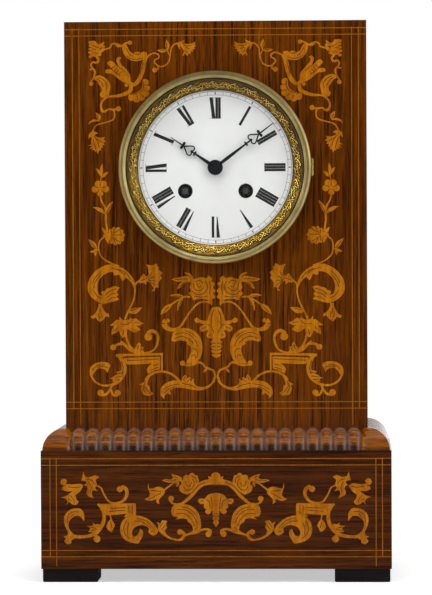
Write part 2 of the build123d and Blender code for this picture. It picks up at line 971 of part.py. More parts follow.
def back_plate():
    plate = drilled(rod(plate_radius, w_back_0, w_back_1), w_back_0, w_back_1)
    return seat(plate - rod(anchor_hole, w_back_0, w_back_1, pallet_at))


def pillars():
    places = [polar(pillar_distance, angle) for angle in pillar_angles]
    return Compound(children=[seat(rod(pillar_radius, w_back_1, w_front_0, at)) for at in places])


def dial_feet():
    places = [polar(dial_foot_distance, angle) for angle in dial_foot_angles]
    return Compound(children=[seat(rod(dial_foot_radius, w_front_1, w_dial_plate, at)) for at in places])


def movement_straps():
    half = strap_width / 2
    inner = strap_offset - strap_thickness
    strap = block((inner, strap_offset), (-half, half), (w_panel_out, w_lip))
    front_foot = (strap_offset, strap_offset + strap_front_reach)
    strap = strap + block(front_foot, (-half, half), (w_lip - strap_thickness, w_lip))
    rear_foot = (strap_offset, strap_offset + strap_rear_reach)
    strap = strap + block(rear_foot, (-half, half), (w_panel_out, w_panel_out + strap_thickness))
    strap = strap - rod(screw_radius, w_panel_out, w_panel_out + strap_thickness, (screw_offset, 0))
    return Compound(children=[seat(strap), seat(mirror(strap, about=Plane.YZ))])


def strap_screws():
    screw = rod(screw_radius, w_ring, w_panel_out + screw_length, (screw_offset, 0))
    head = rod(screw_head_radius, w_ring - screw_head_height, w_ring, (screw_offset, 0))
    outer = w_ring - screw_head_height
    reach = screw_head_radius
    slot_u = (screw_offset - reach, screw_offset + reach)
    slot = block(slot_u, (-screw_slot_width / 2, screw_slot_width / 2), (outer, outer + screw_slot_depth))
    screw = screw + head - slot
    return Compound(children=[seat(screw), seat(mirror(screw, about=Plane.YZ))])


# Winding and springs
def barrel(at, towards):
    """Toothed spring barrel, bored at both ends for its arbor."""
    level = w_back_1 + barrel_level
    gear_top = level + barrel_gear_thickness
    outline = toothed(barrel_teeth, barrel_module, tooth_shares, bearing(at, towards))
    inner = drum_radius - drum_wall
    drum = rod(drum_radius, gear_top, gear_top + drum_height, at)
    cavity = rod(inner, gear_top, gear_top + drum_height - drum_cap, at)
    bore = rod(winding_arbor + running_clearance, level, gear_top + drum_height, at)
    return seat(flat(outline, level, barrel_gear_thickness, at) + drum - cavity - bore)


def time_barrel():
    return barrel(time_at, intermediate_at)


def strike_barrel():
    return barrel(strike_at, second_at)


def mainspring(at):
    """Spring strip wound in half turns about two centres."""
    quarter = spring_pitch / 4
    half = spring_thickness / 2
    sides = []
    for offset in (-half, half):
        arcs = []
        for number in range(spring_half_turns):
            way = 1 if number % 2 == 0 else -1
            radius = spring_inner + number * spring_pitch / 2 + offset
            middle = quarter * way
            ends = ((middle - way * radius, 0), (middle + way * radius, 0))
            arcs.append(ThreePointArc(ends[0], (middle, way * radius), ends[1]))
        sides.append(arcs)
    caps = [Line(sides[0][0] @ 0, sides[1][0] @ 0), Line(sides[0][-1] @ 1, sides[1][-1] @ 1)]
    face = make_face(sides[0] + sides[1] + caps)
    level = w_back_1 + barrel_level + barrel_gear_thickness + spring_margin
    height = drum_height - drum_cap - 2 * spring_margin
    return seat(flat(face, level, height, at))


def time_mainspring():
    return mainspring(time_at)


def strike_mainspring():
    return mainspring(strike_at)


def winding(at, side):
    """Winding arbor with its ratchet wheel and square."""
    shaft = rod(winding_arbor, w_back_1 + end_shake, w_front_0 - end_shake, at)
    shaft = shaft + rod(winding_pivot, w_back_0, w_front_1 + click_wheel_level, at)
    step = 360 / click_wheel_teeth
    points = []
    for number in range(click_wheel_teeth):
        angle = click_angle - click_sweep + number * step
        points.append(polar(click_wheel_radius, angle))
        points.append(polar(click_wheel_root, angle))
    outline = make_face(Polyline(*[(side * u, v) for u, v in points], close=True))
    level = w_front_1 + click_wheel_level
    ratchet = flat(outline, level, click_wheel_thickness, at)
    top = w_dial_top + square_proud
    square = flat(Rectangle(winding_square, winding_square), level, top - level, at)
    return seat(shaft + ratchet + square)


def time_winding_arbor():
    return winding(time_at, 1)


def strike_winding_arbor():
    return winding(strike_at, -1)


def click(side, at):
    """Pawl that rests in one gap of its ratchet."""
    step = 360 / click_wheel_teeth
    start = click_angle - click_sweep
    depth = click_wheel_radius - click_wheel_root
    near, middle, far = click_nose_shares
    eye = polar(click_distance, click_angle)
    aside = bearing(polar(click_wheel_radius, start), eye)
    points = [
        polar(click_wheel_root + click_gap, start + near * step),
        polar(click_wheel_root + middle * depth + click_gap, start + middle * step),
        polar(click_wheel_radius + click_gap, start + far * step),
        polar(click_eye, aside + 90, eye),
        polar(click_eye, aside - 90, eye),
        polar(click_wheel_radius + click_back, start + near * step),
    ]
    pawl = make_face(Polyline(*points, close=True)) + Pos(*eye) * Circle(click_eye)
    pawl = pawl - Pos(*eye) * Circle(click_stud + running_clearance)
    if side < 0:
        pawl = mirror(pawl, about=Plane.YZ)
    return seat(flat(pawl, w_front_1 + click_wheel_level, click_wheel_thickness, at))


def time_click():
    return click(1, time_at)


def strike_click():
    return click(-1, strike_at)


# Going train
def intermediate_wheel():
    level = w_back_1 + intermediate_level
    disc = wheel(intermediate_teeth, intermediate_module, level, wheel_thickness, intermediate_at, centre_at)
    gear_level = w_back_1 + barrel_level
    leaves = pinion(
        intermediate_pinion_teeth, barrel_module, gear_level, barrel_gear_thickness, intermediate_at, time_at
    )
    return seat(arbor(intermediate_at, train_arbor, train_pivot) + disc + leaves)


def centre_wheel():
    level = w_back_1 + front_wheel_level
    disc = wheel(centre_teeth, centre_module, level, wheel_thickness, centre_at, third_at)
    low = w_back_1 + intermediate_level
    leaves = pinion(
        centre_pinion_teeth, intermediate_module, low, wheel_thickness, centre_at, intermediate_at
    )
    shaft = rod(centre_arbor, w_back_1 + end_shake, w_front_0 - end_shake)
    shaft = shaft + rod(centre_shaft, w_back_0, w_collet + collet_height + centre_tip)
    return seat(shaft + disc + leaves - taper_pin())


def third_wheel():
    level = w_back_1 + third_level
    disc = wheel(third_teeth, third_module, level, wheel_thickness, third_at, escape_at)
    top = w_back_1 + front_wheel_level
    leaves = pinion(third_pinion_teeth, centre_module, top, wheel_thickness, third_at, centre_at)
    return seat(arbor(third_at, light_arbor, light_pivot) + disc + leaves)


def escape_wheel():
    step = 360 / escape_teeth
    points = []
    for number in range(escape_teeth):
        angle = 90 + (number + 1 / 2) * step
        points.append(polar(escape_radius, angle))
        points.append(polar(escape_radius * escape_root_share, angle + escape_lean_share * step))
    outline = make_face(Polyline(*points, close=True))
    level = w_back_1 + escape_level
    disc = flat(crossed(outline, escape_radius * escape_root_share), level, wheel_thickness, escape_at)
    third = w_back_1 + third_level
    leaves = pinion(escape_pinion_teeth, third_module, third, wheel_thickness, escape_at, third_at)
    return seat(arbor(escape_at, light_arbor, light_pivot) + disc + leaves)


def anchor():
    inner = escape_radius + anchor_inner_gap
    outer = inner + anchor_width
    reach = 2 * outer
    wedge_sides = [polar(reach, 90 + side * anchor_half_angle) for side in (-1, 1)]
    wedge = make_face(Polyline((0, 0), wedge_sides[0], (0, 2 * reach), wedge_sides[1], close=True))
    bow = (Circle(outer) - Circle(inner)) & wedge
    for side in (-1, 1):
        nib_angle = 90 + side * pallet_half_angle
        nib_tip = polar(escape_radius + pallet_gap, nib_angle)
        bow = bow + bar(nib_tip, polar(inner + anchor_width / 2, nib_angle), pallet_width)
    bow = bow + Pos(0, pallet_rise) * Circle(anchor_hub)
    level = w_back_1 + escape_level + (wheel_thickness - anchor_thickness) / 2
    pallets = flat(bow, level, anchor_thickness, escape_at)
    shaft = rod(light_arbor, w_cock + end_shake, w_front_0 - end_shake, pallet_at)
    shaft = shaft + rod(light_pivot, w_cock - cock_bar, w_front_1, pallet_at)
    crutch_w = w_back_0 - crutch_standoff - crutch_thickness
    fork_v = pallet_at[1] - crutch_length
    arm = bar(pallet_at, (0, fork_v), crutch_width) + Pos(*pallet_at) * Circle(anchor_hub)
    arm = arm + Pos(0, fork_v) * Rectangle(fork_width, fork_height)
    crutch = flat(arm, crutch_w, crutch_thickness)
    pin_u = rod_radius + fork_gap + fork_pin_radius
    for side in (-1, 1):
        crutch = crutch + rod(fork_pin_radius, w_pendulum - 2 * rod_radius, crutch_w, (side * pin_u, fork_v))
    return seat(pallets + shaft + crutch)


# Striking train
def strike_second_wheel():
    level = w_back_1 + front_wheel_level
    disc = wheel(second_teeth, second_module, level, wheel_thickness, second_at, pin_at)
    gear_level = w_back_1 + barrel_level
    leaves = pinion(
        second_pinion_teeth, barrel_module, gear_level, barrel_gear_thickness, second_at, strike_at
    )
    shaft = arbor(second_at, train_arbor, train_pivot)
    tail = rod(train_pivot, w_back_0 - notch_wheel_gap - 2 * notch_wheel_thickness, w_back_0, second_at)
    return seat(shaft + disc + leaves + tail)


def count_wheel():
    face = Circle(notch_wheel_radius)
    step = 360 / count_strokes
    total = 0
    for hour in range(1, 13):
        total = total + hour + 1
        middle = polar(notch_wheel_radius, -total * step)
        slot = Rectangle(2 * notch_depth, notch_wheel_radius * math.radians(2 * step) * notch_width_share)
        face = face - Pos(*middle) * Rot(0, 0, -total * step) * slot
    top = w_back_0 - notch_wheel_gap
    disc = flat(face, top - notch_wheel_thickness, notch_wheel_thickness, second_at)
    hub = rod(notch_wheel_hub, top - 2 * notch_wheel_thickness, top, second_at)
    return seat(disc + hub - rod(train_pivot, top - 2 * notch_wheel_thickness, top, second_at))


def pin_wheel():
    level = w_back_1 + pin_level
    disc = wheel(pin_teeth, pin_module, level, wheel_thickness, pin_at, locking_at)
    top = w_back_1 + front_wheel_level
    leaves = pinion(pin_pinion_teeth, second_module, top, wheel_thickness, pin_at, second_at)
    body = arbor(pin_at, light_arbor, light_pivot) + disc + leaves
    for number in range(pin_count):
        at = polar(pin_distance, bearing(pin_at, hammer_at) + (number + 1 / 2) * 360 / pin_count, pin_at)
        body = body + rod(pin_radius, level - pin_length, level, at)
    return seat(body)


def locking_wheel():
    level = w_back_1 + locking_level
    disc = wheel(locking_teeth, locking_module, level, wheel_thickness, locking_at, fly_at)
    low = w_back_1 + pin_level
    leaves = pinion(locking_pinion_teeth, pin_module, low, wheel_thickness, locking_at, pin_at)
    return seat(arbor(locking_at, light_arbor, light_pivot) + disc + leaves)


def fly():
    level = w_back_1 + locking_level
    leaves = pinion(fly_pinion_teeth, locking_module, level, wheel_thickness, fly_at, locking_at)
    low = w_back_1 + fly_vane_level
    vane = Rot(0, 0, fly_angle) * Rectangle(2 * fly_half_width, fly_vane_thickness) + Circle(fly_hub_radius)
    return seat(arbor(fly_at, fly_arbor, light_pivot) + leaves + flat(vane, low, fly_vane_length, fly_at))


def hammer():
    tail_level = w_back_1 + pin_level - pin_length
    reach = math.dist(hammer_at, pin_at) - pin_distance - pin_radius - tail_gap
    tail_end = polar(reach, bearing(hammer_at, pin_at), hammer_at)
    body = arbor(hammer_at, train_arbor, train_pivot)
    tail = bar(hammer_at, tail_end, tail_width) + Pos(*hammer_at) * Circle(hammer_hub)
    body = body + flat(tail, tail_level, tail_thickness)
    body = body + rod(train_pivot, w_hammer, w_back_0, hammer_at)
    arm = bar(hammer_at, head_at, hammer_arm_width) + Pos(*hammer_at) * Circle(hammer_hub)
    body = body + flat(arm, w_hammer, hammer_arm_thickness)
    middle = w_hammer + hammer_arm_thickness / 2
    head = Rot(0, 90, 0) * Cylinder(hammer_head_radius, hammer_head_length)
    return seat(body + Pos(head_at[0], head_at[1], middle) * Rot(0, 0, strike_bearing) * head)


def bell_shell(radius, depth):
    """Solid cup of a radius and a depth, its mouth towards the viewer."""
    span = radius - bell_boss
    turn = math.sqrt(1 / 2)
    outline = [
        Polyline((bell_boss, -depth), (0, -depth), (0, 0), (radius, 0)),
        ThreePointArc((radius, 0), (bell_boss + turn * span, -turn * depth), (bell_boss, -depth)),
    ]
    return revolve(make_face([Plane.XZ * edge for edge in outline]), Axis.Z)


def bell():
    shell = bell_shell(bell_radius, bell_depth)
    shell = shell - bell_shell(bell_radius - bell_wall, bell_depth - bell_wall)
    shell = shell - rod(bell_stud_radius + bell_hole_clearance, -2 * bell_depth, 0)
    return seat(Pos(bell_at[0], bell_at[1], w_bell_rim) * shell)


def bell_post():
    crown = w_bell_rim - bell_depth
    shaft = rod(bell_post_radius, crown + bell_wall, w_back_0, bell_at)
    shaft = shaft + rod(bell_post_foot, w_back_0 - bell_post_foot_height, w_back_0, bell_at)
    shaft = shaft + rod(bell_stud_radius, crown - bell_nut_height, crown + bell_wall, bell_at)
    nut = rod(bell_nut_radius, crown - bell_nut_height, crown, bell_at)
    nut = nut - rod(bell_stud_radius, crown - bell_nut_height, crown, bell_at)
    return Compound(children=[seat(shaft), seat(nut)])


# Cock and pendulum
def back_cock():
    half = cock_width / 2
    heights = (pallet_at[1] - half, pallet_at[1] + half)
    body = block((-cock_span, cock_span), heights, (w_cock - cock_bar, w_cock))
    for side in (-1, 1):
        limits = sorted((side * cock_span, side * (cock_span - cock_foot)))
        body = body + block(limits, heights, (w_cock, w_back_0))
    body = body - rod(light_pivot + running_clearance, w_cock - cock_bar, w_cock, pallet_at)
    end = w_cock - cock_bar - suspension_length
    stud = rod(suspension_stud, end, w_cock - cock_bar, pallet_at)
    head = rod(suspension_head, end - suspension_head_height, end, pallet_at)
    return seat(body + stud + head)


def pendulum_rod():
    top = pallet_at[1]
    half = chop_width / 2
    depth = (w_pendulum - chop_thickness / 2, w_pendulum + chop_thickness / 2)
    body = block((-half, half), (top - chop_height + half, top + half), depth)
    strip_top = top - chop_height + half
    strip_low = strip_top - spring_strip_length
    strip = spring_strip_thickness / 2
    strip_depth = (w_pendulum - spring_strip_width / 2, w_pendulum + spring_strip_width / 2)
    body = body + block((-strip, strip), (strip_low, strip_top), strip_depth)
    body = body + block((-half, half), (strip_low - chop_height / 2, strip_low), depth)
    low = top - pendulum_length - bob_radius - rod_tail
    body = body + post(rod_radius, low, strip_low, 0, w_pendulum)
    bore = rod(suspension_stud + running_clearance, depth[0], depth[1], pallet_at)
    return seat(body - bore)


def pendulum_bob():
    half = bob_thickness / 2
    edge = bob_edge / 2
    lens = [
        Polyline((0, half), (0, 0), (bob_radius, 0), (bob_radius, edge)),
        dome(bob_radius, half - edge, edge),
    ]
    cap = revolve(make_face([Plane.XZ * line for line in lens]), Axis.Z)
    middle = pallet_at[1] - pendulum_length
    body = Pos(0, middle, w_pendulum) * (cap + mirror(cap, about=Plane.XY))
    bore = post(rod_radius + fit_clearance, middle - 2 * bob_radius, middle + 2 * bob_radius, 0, w_pendulum)
    return seat(body - bore)


def rating_nut():
    top = pallet_at[1] - pendulum_length - bob_radius - door_gap
    nut = post(nut_radius, top - nut_height, top, 0, w_pendulum)
    return seat(nut - post(rod_radius + running_clearance, top - nut_height, top, 0, w_pendulum))


# Back of the case
def rear_ring():
    ring = rod(rear_ring_radius, w_ring, w_panel_out) - rod(rear_ring_inner, w_ring, w_panel_out)
    for side in (-1, 1):
        ring = ring - rod(screw_radius + fit_clearance, w_ring, w_panel_out, (side * screw_offset, 0))
    lug_u = (-rear_hinge_offset, rear_lug_reach - rear_hinge_offset)
    lug_w = (w_rear_hinge, w_panel_out)
    return seat(hinge_part(ring, -rear_hinge_offset, w_rear_hinge, True, lug_u, lug_w))


def rear_door():
    inner = rear_door_radius - rear_door_wall
    outer_w = w_door - rear_door_height
    dish = rod(rear_door_radius, outer_w, w_door) - rod(inner, outer_w + rear_door_face, w_door)
    at = (rear_knob_offset, 0)
    neck = rod(rear_knob_neck, outer_w - rear_knob_neck_height, outer_w, at)
    knob = rod(rear_knob_radius, outer_w - rear_knob_height, outer_w - rear_knob_neck_height, at)
    lug_u = (-rear_hinge_offset, rear_door_lug_reach - rear_hinge_offset)
    lug_w = (w_rear_hinge - knuckle_radius / 2, w_rear_hinge + knuckle_radius / 2)
    return seat(hinge_part(dish + neck + knob, -rear_hinge_offset, w_rear_hinge, False, lug_u, lug_w))


def hinge_pins():
    end = knuckle_length * 3 / 2 + door_gap + hinge_pin_end
    front = post(hinge_pin_radius, -end, end, bezel_hinge_offset, w_bezel_hinge)
    rear = post(hinge_pin_radius, -end, end, -rear_hinge_offset, w_rear_hinge)
    return Compound(children=[seat(front), seat(rear)])


nodes = (
    front_panel,
    left_side,
    right_side,
    top_panel,
    back_panel,
    base_front,
    base_left,
    base_right,
    base_back,
    base_top,
    base_bottom,
    moulding_front,
    side_mouldings,
    feet,
    bezel_flange,
    bezel_rim,
    bezel_glass,
    sight_ring,
    dial_plate,
    enamel_dial,
    hinge_pins,
    minute_hand,
    hour_hand,
    hand_collet,
    cannon_pinion,
    minute_wheel,
    hour_wheel,
    front_plate,
    back_plate,
    pillars,
    dial_feet,
    movement_straps,
    strap_screws,
    time_barrel,
    time_mainspring,
    time_winding_arbor,
    time_click,
    strike_barrel,
    strike_mainspring,
    strike_winding_arbor,
    strike_click,
    intermediate_wheel,
    centre_wheel,
    third_wheel,
    escape_wheel,
    anchor,
    strike_second_wheel,
    count_wheel,
    pin_wheel,
    locking_wheel,
    fly,
    hammer,
    bell,
    bell_post,
    back_cock,
    pendulum_rod,
    pendulum_bob,
    rating_nut,
    rear_ring,
    rear_door,
)


def main():
    os.makedirs("parts", exist_ok=True)
    for node in nodes:
        export_step(node(), f"parts/{node.__name__}.step")


if __name__ == "__main__":
    main()
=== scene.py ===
import json
import math
import bpy
from mathutils import Matrix, Vector
from mathutils.geometry import delaunay_2d_cdt


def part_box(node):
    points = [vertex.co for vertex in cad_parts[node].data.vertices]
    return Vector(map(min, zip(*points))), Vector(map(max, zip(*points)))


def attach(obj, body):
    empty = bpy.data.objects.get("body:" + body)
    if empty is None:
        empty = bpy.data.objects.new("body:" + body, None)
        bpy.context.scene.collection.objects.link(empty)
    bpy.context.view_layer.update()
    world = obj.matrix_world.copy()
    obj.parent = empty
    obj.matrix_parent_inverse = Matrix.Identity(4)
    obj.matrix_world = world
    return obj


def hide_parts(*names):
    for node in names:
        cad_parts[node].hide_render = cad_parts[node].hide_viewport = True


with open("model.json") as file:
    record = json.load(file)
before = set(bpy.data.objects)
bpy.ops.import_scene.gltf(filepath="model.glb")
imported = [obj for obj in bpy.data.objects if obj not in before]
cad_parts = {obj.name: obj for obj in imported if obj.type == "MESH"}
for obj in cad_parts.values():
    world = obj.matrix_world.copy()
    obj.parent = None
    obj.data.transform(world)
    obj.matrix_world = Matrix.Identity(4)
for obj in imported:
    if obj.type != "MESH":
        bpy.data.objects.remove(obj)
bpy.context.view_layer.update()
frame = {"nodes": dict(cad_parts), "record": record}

mm = 0.001
weld_distance = 0.0005
smooth_angle = math.radians(40)

# The photograph's frame, in pixels, and the camera that took it, in millimetres and degrees
photo_width = 432
photo_height = 595
sensor_width = 36.0
focal_px = 3190.3
camera_place = Vector((90.7, -2159.0, 225.7))
camera_yaw = math.radians(-2.462)
camera_pitch = math.radians(-1.044)
camera_roll = math.radians(-0.255)

forward = Vector((
    math.sin(camera_yaw) * math.cos(camera_pitch),
    math.cos(camera_yaw) * math.cos(camera_pitch),
    math.sin(camera_pitch),
))
level_right = Vector((math.cos(camera_yaw), -math.sin(camera_yaw), 0.0))
level_up = level_right.cross(forward)
camera_right = level_right * math.cos(camera_roll) + level_up * math.sin(camera_roll)
camera_up = level_up * math.cos(camera_roll) - level_right * math.sin(camera_roll)

# Planes and circles of the case that the new pieces lie on, in millimetres
front_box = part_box("front_panel")
plinth_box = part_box("base_front")
body_front = front_box[0].y / mm
plinth_front = plinth_box[0].y / mm
dial_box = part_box("enamel_dial")
dial_centre_z = (dial_box[0].z + dial_box[1].z) / 2 / mm
dial_edge_radius = (dial_box[1].x - dial_box[0].x) / 2 / mm
dial_crown = dial_box[0].y / mm
dial_rise = 0.8
inlay_proud = 0.05
inlay_depth = 0.12
engraving_proud = 0.075
ink_proud = 0.03
ink_depth = 0.06
moulding_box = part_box("moulding_front")
plinth_top = moulding_box[0].z / mm
moulding_radius = (moulding_box[1].z - moulding_box[0].z) / mm
case_half = front_box[1].x / mm
case_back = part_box("side_mouldings")[1].y / mm
rib_pitch = 9.1
rib_depth = 2.6
rib_round = (rib_pitch ** 2 / 4 + rib_depth ** 2) / (2 * rib_depth)
front_ribs = 21
side_ribs = 12
side_rib_run = side_ribs * rib_pitch
side_rib_first = case_back - (case_back - body_front - side_rib_run) / 3 - side_rib_run

# Painted reflection round each rib and painted shade at its foot: heights over the plinth and distances from
# the crest
arch_spring = 10.2
reflection_start = 2.1
reflection_end = 3.4
foot_shade_start = 3.0
foot_shade_end = 5.6


def on_plane(pixel_x, pixel_y, plane_y):
    """The point of an upright plane that a pixel of the photograph shows, as x and z in millimetres."""
    across = (pixel_x - photo_width / 2) / focal_px
    rise = (photo_height / 2 - pixel_y) / focal_px
    ray = forward + camera_right * across + camera_up * rise
    reach = (plane_y - camera_place.y) / ray.y
    spot = camera_place + ray * reach
    return (spot.x, spot.z)


# Outlines

def smooth(points, steps=6):
    """A smooth line through points with any number of values each."""
    if len(points) < 3:
        return [tuple(point) for point in points]
    line = []
    count = len(points)
    for index in range(count - 1):
        before = points[max(index - 1, 0)]
        start = points[index]
        end = points[index + 1]
        after = points[min(index + 2, count - 1)]
        for step in range(steps):
            t = step / steps
            spot = []
            for p0, p1, p2, p3 in zip(before, start, end, after):
                bend = (2 * p0 - 5 * p1 + 4 * p2 - p3) * t * t + (3 * p1 - p0 - 3 * p2 + p3) * t * t * t
                spot.append(0.5 * (2 * p1 + (p2 - p0) * t + bend))
            line.append(tuple(spot))
    line.append(tuple(points[-1]))
    return line


def shape(*arcs):
    """One closed outline of smooth arcs that meet in corners; each starts where the last one ended."""
    outline = []
    corner = []
    for arc in arcs:
        outline += smooth(corner + arc)[:-1]
        corner = arc[-1:]
    outline += corner
    if outline[0] == outline[-1]:
        outline.pop()
    return [outline]


def jagged(*points):
    """One closed outline with a corner at each point."""
    return [list(points)]


def disc(x, y, radius, sides=18):
    turn = 2 * math.pi / sides
    return [[(x + radius * math.cos(turn * i), y + radius * math.sin(turn * i)) for i in range(sides)]]


def ring(x, y, outer, inner, sides=120):
    """A flat ring, as four-cornered outlines side by side."""
    turn = 2 * math.pi / sides
    quads = []
    for i in range(sides):
        quad = []
        for radius, step in ((outer, i), (outer, i + 1), (inner, i + 1), (inner, i)):
            quad.append((x + radius * math.cos(turn * step), y + radius * math.sin(turn * step)))
        quads.append(quad)
    return quads


def vine(*knots):
    """A stem through knots of x, y and width, with round ends, as outlines side by side."""
    line = smooth(knots, 7)
    sides = []
    for index, (x, y, width) in enumerate(line):
        behind = line[max(index - 1, 0)]
        ahead = line[min(index + 1, len(line) - 1)]
        run = Vector((ahead[0] - behind[0], ahead[1] - behind[1]))
        run = run.normalized() if run.length else Vector((1, 0))
        sides.append((
            (x - run.y * width / 2, y + run.x * width / 2),
            (x + run.y * width / 2, y - run.x * width / 2),
        ))
    outlines = []
    for (left, right), (next_left, next_right) in zip(sides, sides[1:]):
        outlines.append([left, right, next_right, next_left])
    for x, y, width in (line[0], line[-1]):
        outlines += disc(x, y, width / 2, 12)
    return outlines


def leaf(base_x, base_y, tip_x, tip_y, width, bow=0.0):
    """A pointed leaf from base to tip; bow bends it to its left."""
    run = Vector((tip_x - base_x, tip_y - base_y))
    side = Vector((-run.y, run.x)).normalized()
    base = Vector((base_x, base_y))
    outline = []
    for swell in (0.5, -0.5):
        arc = []
        for share, girth in ((0, 0.2), (0.2, 0.72), (0.45, 1.0), (0.75, 0.62), (1, 0)):
            spot = base + run * share + side * (swell * width * girth + bow * 4 * share * (1 - share))
            arc.append((spot.x, spot.y))
        outline.append(arc)
    return shape(outline[0], outline[1][-2::-1])


def burst(x, y, radius, petals, turn=0.0, notch=0.72):
    """A round flower with scalloped petals."""
    outline = []
    for petal in range(petals):
        for share, reach in ((0.0, notch), (0.22, 0.95), (0.5, 1.0), (0.78, 0.95)):
            angle = turn + 2 * math.pi * (petal + share) / petals
            outline.append((x + radius * reach * math.cos(angle), y + radius * reach * math.sin(angle)))
    return [outline]


# Pieces

def clear_selection():
    bpy.ops.object.select_all(action="DESELECT")


def join(pieces):
    """Makes one piece of several."""
    clear_selection()
    for piece in pieces:
        piece.select_set(True)
    bpy.context.view_layer.objects.active = pieces[0]
    bpy.ops.object.join()
    return bpy.context.object


def settle(piece, name, material, body):
    """Names a finished piece, gives it its material and makes it ride on its body."""
    piece.name = name
    piece.data.name = name
    piece.data.materials.clear()
    piece.data.materials.append(material)
    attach(piece, body)
    return piece


def holds(outline, spot):
    """Whether a closed outline goes round a spot."""
    inside = False
    for (ax, ay), (bx, by) in zip(outline, outline[1:] + outline[:1]):
        if (ay > spot.y) != (by > spot.y) and spot.x < ax + (spot.y - ay) / (by - ay) * (bx - ax):
            inside = not inside
    return inside


def lay_flat(name, outlines, depth, material, body, face):
    """One thin flat piece of many outlines, melted together, on the surface that face gives."""
    points = []
    loops = []
    for outline in outlines:
        area = 0.0
        for (ax, ay), (bx, by) in zip(outline, outline[1:] + outline[:1]):
            area += ax * by - bx * ay
        first = len(points)
        points += [Vector(point) for point in (outline if area > 0 else outline[::-1])]
        loops.append(list(range(first, len(points))))
    made = delaunay_2d_cdt(points, [], loops, 1, weld_distance)
    places = [(spot.x * mm, face(spot.x, spot.y) * mm, spot.y * mm) for spot in made[0]]
    triangles = []
    for corners, source in zip(made[2], made[5]):
        middle = sum((made[0][corner] for corner in corners), Vector((0, 0))) / 3
        if any(holds(outlines[number], middle) for number in source):
            triangles.append(corners)
    mesh = bpy.data.meshes.new(name)
    mesh.from_pydata(places, [], triangles)
    piece = bpy.data.objects.new(name, mesh)
    bpy.context.scene.collection.objects.link(piece)
    clear_selection()
    piece.select_set(True)
    bpy.context.view_layer.objects.active = piece
    bpy.ops.object.mode_set(mode="EDIT")
    bpy.ops.mesh.select_all(action="SELECT")
    bpy.ops.mesh.delete_loose()
    bpy.ops.object.mode_set(mode="OBJECT")
    wall = piece.modifiers.new("depth", "SOLIDIFY")
    wall.thickness = depth * mm
    wall.offset = -1.0
    bpy.ops.object.modifier_apply(modifier=wall.name)
    return settle(piece, name, material, body)


# Materials

def linear(red, green, blue):
    """A colour as it is seen, 0 to 255, as the shader's own light values."""
    out = []
    for value in (red, green, blue):
        share = value / 255
        out.append(share / 12.92 if share <= 0.04045 else ((share + 0.055) / 1.055) ** 2.4)
    return (out[0], out[1], out[2], 1.0)


class Bench:
    """A node tree with short ways to add nodes and join them."""

    def __init__(self, tree):
        self.tree = tree

    def add(self, kind, **inputs):
        node = self.tree.nodes.new("ShaderNode" + kind)
        for name, value in inputs.items():
            self.feed(value, node.inputs[name.replace("_", " ")])
        return node

    def feed(self, value, socket):
        if isinstance(value, bpy.types.NodeSocket):
            self.tree.links.new(value, socket)
        else:
            socket.default_value = value

    def noise(self, vector, scale, detail=4.0, rough=0.6):
        node = self.add("TexNoise", Vector=vector, Scale=scale, Detail=detail, Roughness=rough)
        return node.outputs["Fac"]

    def mapping(self, vector, scale=(1, 1, 1), turn=(0, 0, 0), place=(0, 0, 0)):
        node = self.add("Mapping", Vector=vector, Scale=scale, Rotation=turn, Location=place)
        return node.outputs["Vector"]

    def math(self, operation, first, second=0.5):
        node = self.tree.nodes.new("ShaderNodeMath")
        node.operation = operation
        self.feed(first, node.inputs[0])
        self.feed(second, node.inputs[1])
        return node.outputs[0]

    def ramp(self, value, *stops):
        node = self.tree.nodes.new("ShaderNodeMapRange")
        self.feed(value, node.inputs["Value"])
        for name, number in zip(("From Min", "From Max", "To Min", "To Max"), stops):
            self.feed(number, node.inputs[name])
        return node.outputs["Result"]

    def tint(self, share, first, second):
        node = self.tree.nodes.new("ShaderNodeMix")
        node.data_type = "RGBA"
        self.feed(share, node.inputs[0])
        self.feed(first, node.inputs[6])
        self.feed(second, node.inputs[7])
        return node.outputs[2]

    def bump(self, height, strength, distance):
        return self.add("Bump", Height=height, Strength=strength, Distance=distance).outputs["Normal"]


def new_group(name, inputs, outputs):
    """A shader node group, with its bench, its inputs by name and its outputs by name."""
    tree = bpy.data.node_groups.new(name, "ShaderNodeTree")
    for socket, kind, value in inputs:
        made = tree.interface.new_socket(socket, in_out="INPUT", socket_type=kind)
        if value is not None:
            made.default_value = value
    for socket, kind in outputs:
        tree.interface.new_socket(socket, in_out="OUTPUT", socket_type=kind)
    came = tree.nodes.new("NodeGroupInput")
    gone = tree.nodes.new("NodeGroupOutput")
    return tree, Bench(tree), came.outputs, gone.inputs


